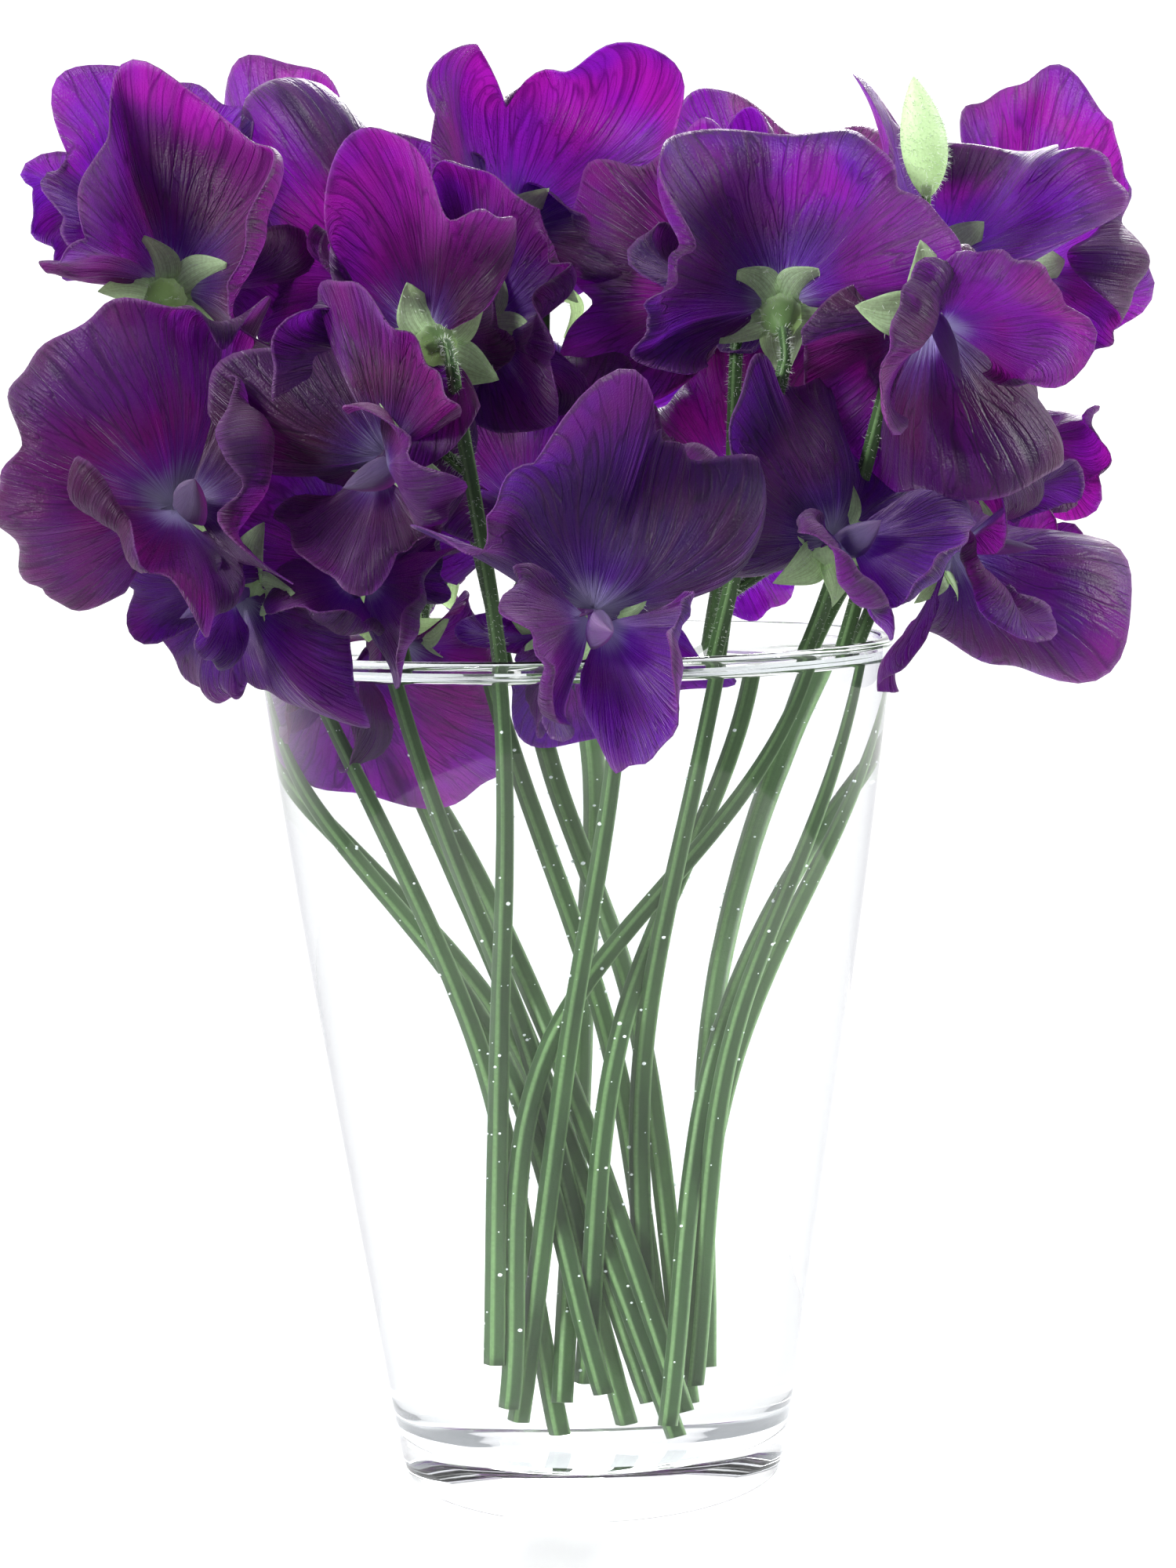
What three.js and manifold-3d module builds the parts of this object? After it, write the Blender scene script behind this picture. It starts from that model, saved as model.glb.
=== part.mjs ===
// Cut sweet peas standing in a clear glass vase of water.
// Millimetres, +Z up. The origin is the centre of the vase's foot, on the table.
// The front of the bunch faces -Y.
import * as THREE from "three";
import { mergeVertices } from "three/addons/utils/BufferGeometryUtils.js";
import Module from "manifold-3d";

const wasm = await Module();
wasm.setup();

const degrees = THREE.MathUtils.degToRad;

// Driving dimensions of the vase
const VASE_HEIGHT = 170;
const FOOT_RADIUS = 38.6;
const RIM_RADIUS = 63.2;
const SWELL = 0.9;
const WALL = 2.6;
const FLOOR = 10;
const FOOT_ROUND = 2.8;
const VASE_SEGMENTS = 28;
const WATER_LEVEL = 166;

// Clearance between neighbouring pieces, and how far a joined solid may move as it is made plainer
const GAP = 0.45;
const SMOOTHING = 0.18;

// Driving dimensions of a stem, and of a flower at size 1
const STEM_RADIUS = 1.1;
const STEM_SIDES = 4;
const STEM_STEPS = 6;
const BUD_RADIUS = 4;
const BUD_LENGTH = 22;
const PEDICEL_RADIUS = 0.85;
const PEDICEL_SIDES = 3;
const PEDICEL_STEPS = 2;
const PEDICEL_REACH = 6;
const CALYX_LENGTH = 7;
const CALYX_RADIUS = 3.5;
const SEPAL_LENGTH = 8.5;
const SEPAL_COUNT = 5;
const NECK_RADIUS = 2.5;
const NECK_DEPTH = 3.6;
const PETAL_THICKNESS = 0.7;
const STANDARD_ROOT = [1.6, 0, 1];
const STANDARD_REACH = 36;
const STANDARD_SPAN = 118;
const STANDARD_TILT = 36;
const STANDARD_FURL = 125;
const STANDARD_WAVES = [7, 13];
const STANDARD_RIPPLES = 3.2;
const WING_ROOT = [5.5, 1.2, 0.4];
const WING_REACH = 27;
const WING_SPAN = [-60, 66];
const WING_TILT = -10;
const WING_FURL = 120;
const WING_WAVES = 3;
const WING_RIPPLES = 1.5;
const KEEL_LENGTH = 17;
const KEEL_SIDES = 5;

// The share of a petal's reach where it starts to roll, the sharpness of its waves, from 0 to 1, and
// how far out along its reach they grow
const ROLL_START = 0.66;
const SHARPNESS = 0.93;
const WAVE_GROWTH = 1.5;

// The heights where a stem stands on the vase's floor, where the stems gather, and where they pass the
// rim. A stem that is cut short starts up to FOOT_RISE of the way from the first to the second.
const FOOT_LEVEL = FLOOR + 1;
const GATHER_LEVEL = 95;
const RIM_LEVEL = 163;
const FOOT_RISE = 0.2;

// Every stem: its places at those three heights, and its flowers from the lowest up. A flower has the
// place of its calyx mouth, the way it faces (azimuth, where 0 is the front and 90 the right, and
// elevation), the way its standard petal rises seen from the front (clockwise from straight up), its
// size, and how far the standard folds back along its middle and bends back.
const STEMS = [
  { foot: [-4.8, 1.9], gather: [-16.7, -2], rim: [-45, -23.9], flowers: [
    { at: [-59, -50, 183], facing: [-50, 0], rise: -155, size: 0.75, fold: 35, bend: 40 },
    { at: [-72, -57, 199], facing: [25, 0], rise: -35, size: 1.18, fold: 14, bend: 62 },
  ] },
  { foot: [4, -4.9], gather: [-14.2, 0], rim: [-53.9, -3.8], flowers: [
    { at: [-81, -10, 250], facing: [-160, 30], rise: -4, size: 0.85, fold: 40, bend: 60 },
    { at: [-75, -33, 238], facing: [170, 25], rise: 25, size: 0.95, fold: 40, bend: 50 },
  ] },
  { foot: [10.7, -1.7], gather: [-11.1, 7.4], rim: [-49.8, 18.1], flowers: [
    { at: [-68, 16, 240], facing: [150, 15], rise: 15, size: 1.0, fold: 35, bend: 50 },
    { at: [-58, 46, 250], facing: [145, 35], rise: 22, size: 0.95, fold: 45, bend: 40 },
  ] },
  { foot: [-15.5, -2.5], gather: [-13.3, -9.6], rim: [-13.3, -53.4], flowers: [
    { at: [-31, -66, 208], facing: [-20, -30], rise: -50, size: 0.85, fold: 30, bend: 60 },
    { at: [-24, -60, 227], facing: [195, 0], rise: -62, size: 0.95, fold: 48, bend: 45 },
  ] },
  { foot: [5.2, 5.8], gather: [-9.2, -6], rim: [-30.8, -39.4], flowers: [
    { at: [-38, -46, 186], facing: [-10, -15], rise: 5, size: 0.82, fold: 25, bend: 80 },
    { at: [-36, -12, 239], facing: [30, 15], rise: -18, size: 0.95, fold: 35, bend: 50 },
  ] },
  { foot: [14.4, 4.2], gather: [8.1, 3.2], rim: [-6.2, 16.9], flowers: [
    { at: [-1, 24, 243], facing: [100, 10], rise: 10, size: 0.85, fold: 45, bend: 45 },
    { at: [-11, 0, 249], facing: [-150, 8], rise: -5, size: 1.12, fold: 60, bend: 25 },
  ] },
  { foot: [-11.6, 1.1], gather: [-2.4, -11.3], rim: [7.5, -53.5], flowers: [
    { at: [3, -80, 180], facing: [5, -22], rise: 20, size: 0.98, fold: 40, bend: 60 },
  ] },
  { foot: [11.9, 5.6], gather: [3.4, 1.4], rim: [-12.9, -15.3], flowers: [
    { at: [-2, -33, 176], facing: [10, -45], rise: 175, size: 0.65, fold: 30, bend: 50 },
    { at: [-8, -16, 194], facing: [-5, 10], rise: -10, size: 0.95, fold: 18, bend: 60 },
    { at: [-18, -34, 230], facing: [150, 5], rise: 60, size: 0.85, fold: 40, bend: 60 },
  ] },
  { foot: [7.6, 4.7], gather: [9.3, -6], rim: [24.1, -47.2], flowers: [
    { at: [46, -57, 190], facing: [35, 0], rise: -20, size: 0.85, fold: 40, bend: 55 },
    { at: [39, -46, 232], facing: [180, 28], rise: -3, size: 1.02, fold: 50, bend: 30 },
  ] },
  { foot: [-13.6, -2.6], gather: [-4.9, -8.3], rim: [40.2, -37.5], flowers: [
    { at: [64, -68, 231], facing: [10, -25], rise: 168, size: 0.95, fold: 58, bend: 40 },
  ] },
  { foot: [-2.3, 4.1], gather: [5.4, -8.7], rim: [27.2, -12.7], flowers: [
    { at: [32, -10, 196], facing: [12, 10], rise: 5, size: 0.95, fold: 18, bend: 60 },
    { at: [33, -14, 236], facing: [175, 20], rise: -40, size: 0.95, fold: 25, bend: 45 },
  ] },
  { foot: [14.1, -0.7], gather: [23.3, -5.6], rim: [49.7, -21.1], bud: [66, -47, 252], flowers: [
    { at: [69, -36, 188], facing: [52, 5], rise: 100, size: 0.92, fold: 45, bend: 40 },
    { at: [70, -20, 240], facing: [170, 12], rise: 10, size: 1.08, fold: 52, bend: 32 },
  ] },
  { foot: [10.1, 1.4], gather: [24.2, -0.8], rim: [54, 0], flowers: [
    { at: [82, 8, 184], facing: [100, -5], rise: 75, size: 0.8, fold: 15, bend: 60 },
    { at: [91, 24, 241], facing: [155, 15], rise: 38, size: 1.0, fold: 30, bend: 45 },
  ] },
  { foot: [11.3, -8.3], gather: [20.6, 1.6], rim: [47.6, 23.2], flowers: [
    { at: [66, 54, 203], facing: [125, 10], rise: 20, size: 0.95, fold: 15, bend: 60 },
    { at: [84, 17, 208], facing: [62, 0], rise: 10, size: 0.85, fold: 40, bend: 50 },
  ] },
  { foot: [16.5, 1.1], gather: [18.2, 8.3], rim: [27.6, 44.1], flowers: [
    { at: [30, 72, 190], facing: [165, -5], rise: 10, size: 1.0, fold: 15, bend: 60 },
    { at: [44, 52, 247], facing: [175, 25], rise: 5, size: 1.0, fold: 20, bend: 50 },
  ] },
  { foot: [-5.1, -3.5], gather: [-0.4, 15.4], rim: [0, 52], flowers: [
    { at: [4, 56, 208], facing: [0, 10], rise: -5, size: 0.8, fold: 15, bend: 60 },
    { at: [-24, 62, 242], facing: [175, 20], rise: 0, size: 0.95, fold: 20, bend: 50 },
  ] },
  { foot: [15.7, -5.4], gather: [-5.3, 5.3], rim: [-28.1, 44.9], flowers: [
    { at: [-30, 68, 186], facing: [200, -5], rise: -10, size: 0.85, fold: 15, bend: 60 },
    { at: [-62, 50, 205], facing: [225, 5], rise: -10, size: 0.9, fold: 15, bend: 60 },
  ] },
  { foot: [13, -4], gather: [-8.9, 3.7], rim: [-29, 7.8], flowers: [
    { at: [-35, -4, 173], facing: [-30, -45], rise: 183, size: 0.85, fold: 30, bend: 45 },
  ] },
];

const COLOURS = {
  glass: { color: 0xf2f6f7, roughness: 0.03, metalness: 0, transparent: true, opacity: 0.3 },
  water: { color: 0xeaf4f4, roughness: 0.02, metalness: 0, transparent: true, opacity: 0.25 },
  stem: { color: 0x6f9458, roughness: 0.6, metalness: 0 },
  petal: { color: 0x56166b, roughness: 0.6, metalness: 0 },
};

// A fixed pseudo-random value from 0 to 1 for a flower's number and a purpose.
function chance(flower, purpose) {
  const mixed = Math.sin(flower * 12.9898 + purpose * 78.233) * 43758.5453;
  return mixed - Math.floor(mixed);
}

// Geometry to solid and back

function solidOf(geometry, matrix) {
  const bare = new THREE.BufferGeometry();
  bare.setAttribute("position", geometry.getAttribute("position").clone());
  if (geometry.index) bare.setIndex(geometry.index.clone());
  if (matrix) bare.applyMatrix4(matrix);
  const merged = mergeVertices(bare, 1e-4);
  return new wasm.Manifold(
    new wasm.Mesh({
      numProp: 3,
      vertProperties: merged.getAttribute("position").array,
      triVerts: new Uint32Array(merged.index.array),
    }),
  );
}

// A solid has its vertices in rows of numProp numbers, the first three of them its place.
function geometryOf(solid) {
  const mesh = solid.getMesh();
  const positions = new Float32Array(mesh.numVert * 3);
  for (let i = 0; i < mesh.numVert; i++) {
    positions.set(mesh.vertProperties.subarray(i * mesh.numProp, i * mesh.numProp + 3), i * 3);
  }
  const geometry = new THREE.BufferGeometry();
  geometry.setAttribute("position", new THREE.BufferAttribute(positions, 3));
  geometry.setIndex(new THREE.BufferAttribute(new Uint32Array(mesh.triVerts), 1));
  geometry.computeVertexNormals();
  return geometry;
}

function joined(solids) {
  return solids.reduce((whole, piece) => whole.add(piece));
}

// The vase and the water

function outerRadius(z) {
  const share = z / VASE_HEIGHT;
  const swell = SWELL * Math.sin(Math.PI * share ** 1.6);
  return FOOT_RADIUS + (RIM_RADIUS - FOOT_RADIUS) * share + swell;
}

function innerRadius(z) {
  return outerRadius(z) - WALL;
}

function lathe(profile, segments) {
  return new THREE.LatheGeometry(
    profile.map(([r, z]) => new THREE.Vector2(r, z)),
    segments,
  ).rotateX(Math.PI / 2);
}

// The inside from its floor, which meets the wall in a soft corner, up to two thirds of the height
function insideProfile(clearance) {
  const third = VASE_HEIGHT / 3;
  const corner = FLOOR + 5;
  return [
    [0, FLOOR + clearance],
    [innerRadius(corner) - 4, FLOOR + 0.8 + clearance],
    [innerRadius(corner) - 0.4 - clearance, corner + clearance],
    [innerRadius(third) - clearance, third],
    [innerRadius(2 * third) - clearance, 2 * third],
  ];
}

function vaseGeometry() {
  const third = VASE_HEIGHT / 3;
  const outside = [
    [0, 0],
    [FOOT_RADIUS - FOOT_ROUND, 0],
    [FOOT_RADIUS + 0.2, FOOT_ROUND],
    [outerRadius(third), third],
    [outerRadius(2 * third), 2 * third],
    [outerRadius(VASE_HEIGHT - WALL), VASE_HEIGHT - WALL],
  ];
  const rim = [
    [RIM_RADIUS - 0.2 * WALL, VASE_HEIGHT - 0.2 * WALL],
    [RIM_RADIUS - 0.5 * WALL, VASE_HEIGHT],
    [RIM_RADIUS - 0.9 * WALL, VASE_HEIGHT - 0.4 * WALL],
  ];
  return lathe([...outside, ...rim, ...insideProfile(0).reverse()], VASE_SEGMENTS);
}

function waterGeometry() {
  const surface = [
    [innerRadius(WATER_LEVEL) - GAP, WATER_LEVEL],
    [0, WATER_LEVEL],
  ];
  return lathe([...insideProfile(GAP), ...surface], VASE_SEGMENTS);
}

// A wave from -1 to 1 with sharp crests, as a petal folds.
function crease(angle) {
  return Math.asin(SHARPNESS * Math.sin(angle)) / Math.asin(SHARPNESS);
}

// How far an arc gets, outwards and upwards, that leaves at a heading and turns back by a change.
function arc(length, heading, change) {
  const half = change / 2;
  const chord = half ? (length * Math.sin(half)) / half : length;
  return [chord * Math.cos(heading - half), chord * Math.sin(heading - half)];
}

// A petal is a fan of rays from its root. Each ray leaves at the fan's tilt towards the facing side,
// bends back over its length and rolls up near its end, and the fan folds back along its middle ray.
function fanPoint(fan, angle, share) {
  const reach = fan.reach(angle);
  const bend = fan.bend(angle);
  const inner = Math.min(share, ROLL_START);
  const outer = share - inner;
  const heading = fan.tilt - bend * inner;
  const rolled = (bend + fan.roll(angle) / (1 - ROLL_START)) * outer;
  const [innerOut, innerRise] = arc(reach * inner, fan.tilt, bend * inner);
  const [outerOut, outerRise] = arc(reach * outer, heading, rolled);
  const wave = fan.wave(angle, share);
  const out = innerOut + outerOut - wave * Math.sin(heading - rolled);
  const rise = innerRise + outerRise + wave * Math.cos(heading - rolled);
  const fold = fan.fold * Math.tanh(angle / 0.3);
  const side = out * Math.sin(angle);
  const across = side * Math.cos(fold) + rise * Math.sin(fold);
  const facing = rise * Math.cos(fold) - side * Math.sin(fold);
  return fan.root
    .clone()
    .addScaledVector(fan.along, out * Math.cos(angle))
    .addScaledVector(fan.across, across)
    .addScaledVector(fan.facing, facing);
}

// Moves the edge of a petal's sheet outwards, along the folds that run to it.
function widen(sheet, rings, starts, extra) {
  const outer = rings.length - 1;
  const halved = outer > 0 && rings[outer].sectors > rings[outer - 1].sectors;
  const pairs = [];
  for (let i = 0; i <= rings[outer].sectors; i++) {
    const inner = outer ? starts[outer - 1] + (halved ? Math.floor(i / 2) : i) : 0;
    pairs.push([inner, starts[outer] + i]);
  }
  rings.forEach(({ sectors }, ring) => {
    const [first, last] = [starts[ring], starts[ring] + sectors];
    pairs.push([first + 1, first], [last - 1, last]);
  });
  const moves = pairs.map(([from, to]) => sheet[to].clone().sub(sheet[from]).setLength(extra));
  pairs.forEach(([, to], i) => sheet[to].add(moves[i]));
}

// The fan as a thin closed solid, split into triangles alike on both faces. Each ring has a share of
// the reach and its number of sectors, which stays or doubles from one ring to the next. A petal made
// larger all round by `extra` is the room it needs.
function petalGeometry(fan, rings, extra) {
  const thickness = PETAL_THICKNESS + 2 * extra;
  const sheet = [fan.root.clone()];
  const starts = [];
  for (const { share, sectors } of rings) {
    starts.push(sheet.length);
    for (let i = 0; i <= sectors; i++) {
      const angle = fan.from + ((fan.to - fan.from) * i) / sectors;
      sheet.push(fanPoint(fan, angle, share));
    }
  }
  if (extra) widen(sheet, rings, starts, extra);
  const faces = [];
  for (let i = 0; i < rings[0].sectors; i++) faces.push([0, starts[0] + i, starts[0] + i + 1]);
  for (let ring = 0; ring + 1 < rings.length; ring++) {
    const doubles = rings[ring + 1].sectors > rings[ring].sectors;
    for (let i = 0; i < rings[ring].sectors; i++) {
      const a = starts[ring] + i;
      const c = starts[ring + 1] + (doubles ? 2 * i : i);
      faces.push([a, c, c + 1], [a, c + 1, a + 1]);
      if (doubles) faces.push([a + 1, c + 1, c + 2]);
    }
  }
  const normals = sheet.map(() => new THREE.Vector3());
  for (const [a, b, c] of faces) {
    const normal = new THREE.Vector3()
      .subVectors(sheet[b], sheet[a])
      .cross(new THREE.Vector3().subVectors(sheet[c], sheet[a]));
    for (const corner of [a, b, c]) normals[corner].add(normal);
  }
  const outer = rings.length - 1;
  const border = [0, ...starts];
  for (let i = 1; i <= rings[outer].sectors; i++) border.push(starts[outer] + i);
  for (let ring = outer - 1; ring >= 0; ring--) border.push(starts[ring] + rings[ring].sectors);
  const positions = [];
  for (const side of [0.5, -0.5]) {
    sheet.forEach((point, i) => {
      const moved = point.clone().addScaledVector(normals[i].clone().normalize(), side * thickness);
      positions.push(moved.x, moved.y, moved.z);
    });
  }
  const back = sheet.length;
  const index = [];
  for (const [a, b, c] of faces) index.push(a, b, c, back + a, back + c, back + b);
  border.forEach((a, i) => {
    const b = border[(i + 1) % border.length];
    index.push(b, a, back + a, b, back + a, back + b);
  });
  const geometry = new THREE.BufferGeometry();
  geometry.setAttribute("position", new THREE.BufferAttribute(new Float32Array(positions), 3));
  geometry.setIndex(index);
  return geometry;
}

// A fan wound the other way round is turned inside out first.
function closedOutwards(geometry, matrix) {
  const solid = solidOf(geometry, matrix);
  if (solid.volume() > 0) return solid;
  const index = Array.from(geometry.index.array);
  for (let i = 0; i < index.length; i += 3) [index[i], index[i + 1]] = [index[i + 1], index[i]];
  geometry.setIndex(index);
  return solidOf(geometry, matrix);
}

// One flower, in its own frame: the calyx mouth at the origin, +X the way it faces, +Z its standard.

function standardFan(flower, number) {
  const span = degrees(STANDARD_SPAN);
  const phase = [0, 1, 2, 3, 4, 5, 6, 7].map((i) => 2 * Math.PI * chance(number, 10 + i));
  const depth = THREE.MathUtils.lerp(...STANDARD_WAVES, chance(number, 18));
  const [point, notch] = [19, 35].map((purpose) => span * (1.6 * chance(number, purpose) - 0.8));
  return {
    root: new THREE.Vector3(...STANDARD_ROOT),
    along: new THREE.Vector3(0, 0, 1),
    across: new THREE.Vector3(0, 1, 0),
    facing: new THREE.Vector3(1, 0, 0),
    from: -span,
    to: span,
    tilt: degrees(STANDARD_TILT),
    fold: degrees(flower.fold),
    reach(angle) {
      const share = Math.abs(angle) / span;
      const lobes = 0.694 + 0.306 * Math.cos(angle / 1.35) - 0.1 * Math.exp(-((angle / 0.16) ** 2));
      const corner = 0.12 * Math.exp(-Math.abs(angle - point) / 0.14);
      const nick = 0.13 * Math.exp(-Math.abs(angle - notch) / 0.1);
      const swing = 0.06 * Math.sin(2.4 * angle + phase[3]) + 0.05 * Math.sin(4.6 * angle + phase[2]);
      const edge = 1 + swing + corner - nick;
      return flower.size * STANDARD_REACH * lobes * edge * (1 - 0.38 * share ** 6);
    },
    bend(angle) {
      const swing = 0.6 * Math.sin(2.1 * angle + phase[4]) + 0.3 * Math.sin(3.9 * angle + phase[5]);
      return degrees(flower.bend) * (1 + swing);
    },
    roll(angle) {
      const swing = 0.65 + 0.35 * Math.sin(3.3 * angle + phase[7]);
      return degrees(STANDARD_FURL) * Math.sin(1.7 * angle + phase[6]) * swing;
    },
    wave(angle, share) {
      const ripples = STANDARD_RIPPLES * crease(5.7 * angle + phase[1]);
      return flower.size * share ** WAVE_GROWTH * (depth * crease(3 * angle + phase[0]) + ripples);
    },
  };
}

function wingFan(flower, number, side) {
  const [from, to] = WING_SPAN.map(degrees);
  const phase = [0, 1, 2, 3].map((i) => 2 * Math.PI * chance(number, 20 + i + 5 * side));
  const spread = degrees(16 + 22 * chance(number, 30 + side));
  const lean = degrees(28 + 24 * chance(number, 32 + side));
  const curve = degrees(-38 + 56 * chance(number, 34 + side));
  const along = new THREE.Vector3(Math.cos(spread), side * Math.sin(spread), -0.12).normalize();
  const up = new THREE.Vector3(0, side * Math.sin(lean), Math.cos(lean));
  const across = up.addScaledVector(along, -up.dot(along)).normalize();
  const facing = new THREE.Vector3().crossVectors(along, across).multiplyScalar(side);
  return {
    root: new THREE.Vector3(...WING_ROOT).multiply(new THREE.Vector3(1, side, 1)),
    along,
    across,
    facing,
    from,
    to,
    tilt: degrees(WING_TILT),
    fold: 0,
    reach(angle) {
      const share = (2 * (angle - from)) / (to - from) - 1;
      const edge = 1 + 0.06 * Math.sin(4 * angle + phase[2]);
      return flower.size * WING_REACH * edge * (1 - 0.12 * share ** 2 - 0.36 * share ** 6);
    },
    bend(angle) {
      return curve + degrees(25) * Math.sin(2.2 * angle + phase[3]);
    },
    roll(angle) {
      return degrees(WING_FURL) * Math.sin(2.4 * angle + phase[1]);
    },
    wave(angle, share) {
      const ripples = WING_RIPPLES * crease(6.1 * angle + phase[1]);
      return flower.size * share ** WAVE_GROWTH * (WING_WAVES * crease(3.4 * angle + phase[0]) + ripples);
    },
  };
}

// The neck that the petals share inside the cup, and the keel it runs on into: a small upturned boat.
function keelGeometry(flower, extra) {
  const length = flower.size * KEEL_LENGTH;
  const profile = [
    [0, -NECK_DEPTH - extra],
    [NECK_RADIUS + extra, 0.6],
    [NECK_RADIUS - 0.4 + extra, 0.4 * length],
    [NECK_RADIUS - 0.1 + extra, 0.8 * length],
    [0, length + 3 + extra],
  ];
  const keel = new THREE.LatheGeometry(
    profile.map(([r, x]) => new THREE.Vector2(r, x)),
    KEEL_SIDES,
  ).rotateZ(-Math.PI / 2);
  const place = keel.getAttribute("position");
  for (let i = 0; i < place.count; i++) {
    const forward = Math.max(0, place.getX(i) / length - 0.3);
    place.setY(i, place.getY(i) * (1 - 0.4 * Math.min(1, forward)));
    place.setZ(i, place.getZ(i) * (1 + 0.6 * Math.min(1, forward)) + 5 * forward ** 2);
  }
  return keel;
}

function blossomSolid(flower, number, matrix, extra) {
  const shield = [
    { share: 0.55, sectors: 4 },
    { share: 1, sectors: 8 },
  ];
  const blade = [{ share: 1, sectors: 3 }];
  const standard = petalGeometry(standardFan(flower, number), shield, extra);
  const wings = [1, -1].map((side) =>
    petalGeometry(wingFan(flower, number, side), blade, extra),
  );
  return joined([
    solidOf(keelGeometry(flower, extra), matrix),
    closedOutwards(standard, matrix),
    ...wings.map((wing) => closedOutwards(wing, matrix)),
  ])
    .asOriginal()
    .simplify(SMOOTHING);
}

// The green cup with its hollow for the neck, and its pointed lobes. It is turned with two columns to
// a lobe, and every second column of its edge is drawn out and curled back to a lobe's tip.
function calyxSolid(number, matrix, extra) {
  const edge = 2;
  const profile = [
    [0, -CALYX_LENGTH - 1 - extra],
    [CALYX_RADIUS - 0.3 + extra, -2.5 - extra],
    [CALYX_RADIUS + 0.3 + extra, 0.9 + extra],
    [NECK_RADIUS + GAP, 0.6 + extra],
    [0, -NECK_DEPTH - GAP],
  ];
  const columns = 2 * SEPAL_COUNT;
  const cup = new THREE.LatheGeometry(
    profile.map(([r, x]) => new THREE.Vector2(r, x)),
    columns,
  );
  const place = cup.getAttribute("position");
  for (let column = 1; column < columns; column += 2) {
    const i = column * profile.length + edge;
    const curl = 0.4 + 0.9 * chance(number, 40 + column);
    const reach = (CALYX_RADIUS + SEPAL_LENGTH * (1 - 0.2 * curl) + extra) / profile[edge][0];
    place.setXYZ(i, place.getX(i) * reach, 2.4 - 4.4 * curl, place.getZ(i) * reach);
  }
  return solidOf(cup.rotateZ(-Math.PI / 2), matrix);
}

// Where a flower sits and which way it faces, as a matrix from its own frame.
function placeOf(flower) {
  const [azimuth, elevation] = flower.facing.map(degrees);
  const forward = new THREE.Vector3(
    Math.sin(azimuth) * Math.cos(elevation),
    -Math.cos(azimuth) * Math.cos(elevation),
    Math.sin(elevation),
  );
  const rise = degrees(flower.rise);
  const up = new THREE.Vector3(Math.sin(rise), 0, Math.cos(rise));
  up.addScaledVector(forward, -up.dot(forward)).normalize();
  const left = new THREE.Vector3().crossVectors(up, forward);
  return new THREE.Matrix4().makeBasis(forward, left, up).setPosition(...flower.at);
}

// Stems

// A smooth curve through points. Its even steps are even from point to point, so that they meet them.
class Route extends THREE.CatmullRomCurve3 {
  constructor(points) {
    super(points, false, "catmullrom", 0.5);
  }

  getUtoTmapping(share) {
    return share;
  }
}

function tube(points, radius, sides, steps) {
  const outline = new THREE.Shape();
  for (let i = 0; i < sides; i++) {
    const around = (2 * Math.PI * i) / sides;
    const [x, y] = [radius * Math.cos(around), radius * Math.sin(around)];
    if (i) outline.lineTo(x, y);
    else outline.moveTo(x, y);
  }
  return new THREE.ExtrudeGeometry(outline, {
    extrudePath: new Route(points),
    steps,
    bevelEnabled: false,
  });
}

// The point behind and below a flower that its stem passes through.
function nodeOf(place) {
  const node = new THREE.Vector3(-CALYX_LENGTH - PEDICEL_REACH, 0, 0).applyMatrix4(place);
  node.z -= 0.5 * PEDICEL_REACH;
  return node;
}

// A stem runs from the vase's floor to where the stems gather, and bends out over the rim to end behind
// its last flower.
function stemPoints({ stem, places, index }) {
  const foot = new THREE.Vector3(...stem.foot, FOOT_LEVEL);
  const gather = new THREE.Vector3(...stem.gather, GATHER_LEVEL);
  const rim = new THREE.Vector3(...stem.rim, RIM_LEVEL);
  foot.lerp(gather, FOOT_RISE * chance(index, 90));
  return [foot, gather, rim, nodeOf(places.at(-1))];
}

// The place nearest a point, on the straight runs that make up a stem.
function nearestOn(points, target) {
  const candidates = points.slice(1).map((end, i) => {
    const run = new THREE.Line3(points[i], end);
    return run.closestPointToPoint(target, true, new THREE.Vector3());
  });
  return candidates.sort((a, b) => a.distanceTo(target) - b.distanceTo(target))[0];
}

// The stalk from the stem into the bottom of a flower's cup. It leaves the stem below its node.
function pedicelSolid(place, runs, extra) {
  const node = nodeOf(place);
  const start = nearestOn(runs, node.clone().add(new THREE.Vector3(0, 0, -PEDICEL_REACH)));
  const inside = new THREE.Vector3(-CALYX_LENGTH + 0.9, 0, 0).applyMatrix4(place);
  const behind = new THREE.Vector3(-CALYX_LENGTH - 0.5 * PEDICEL_REACH, 0, 0).applyMatrix4(place);
  const route = start.distanceTo(node) > 4 ? [start, node, behind, inside] : [start, behind, inside];
  return solidOf(tube(route, PEDICEL_RADIUS + extra, PEDICEL_SIDES, PEDICEL_STEPS));
}

// The young bud: a pale plump spindle on a stalk of its own.
function budSolid(bud, runs, extra) {
  const base = new THREE.Vector3(...bud);
  const start = nearestOn(runs, base.clone().add(new THREE.Vector3(0, 0, -1.4 * BUD_LENGTH)));
  const inside = base.clone().add(new THREE.Vector3(0, 0, 3));
  const stalk = tube([start, inside], PEDICEL_RADIUS + extra, PEDICEL_SIDES, PEDICEL_STEPS);
  const body = new THREE.SphereGeometry(1, 6, 4).rotateX(Math.PI / 2);
  body.scale(BUD_RADIUS + extra, BUD_RADIUS + extra, BUD_LENGTH / 2 + extra);
  body.translate(base.x, base.y, base.z + BUD_LENGTH / 2);
  return joined([solidOf(stalk), solidOf(body)]);
}

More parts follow.
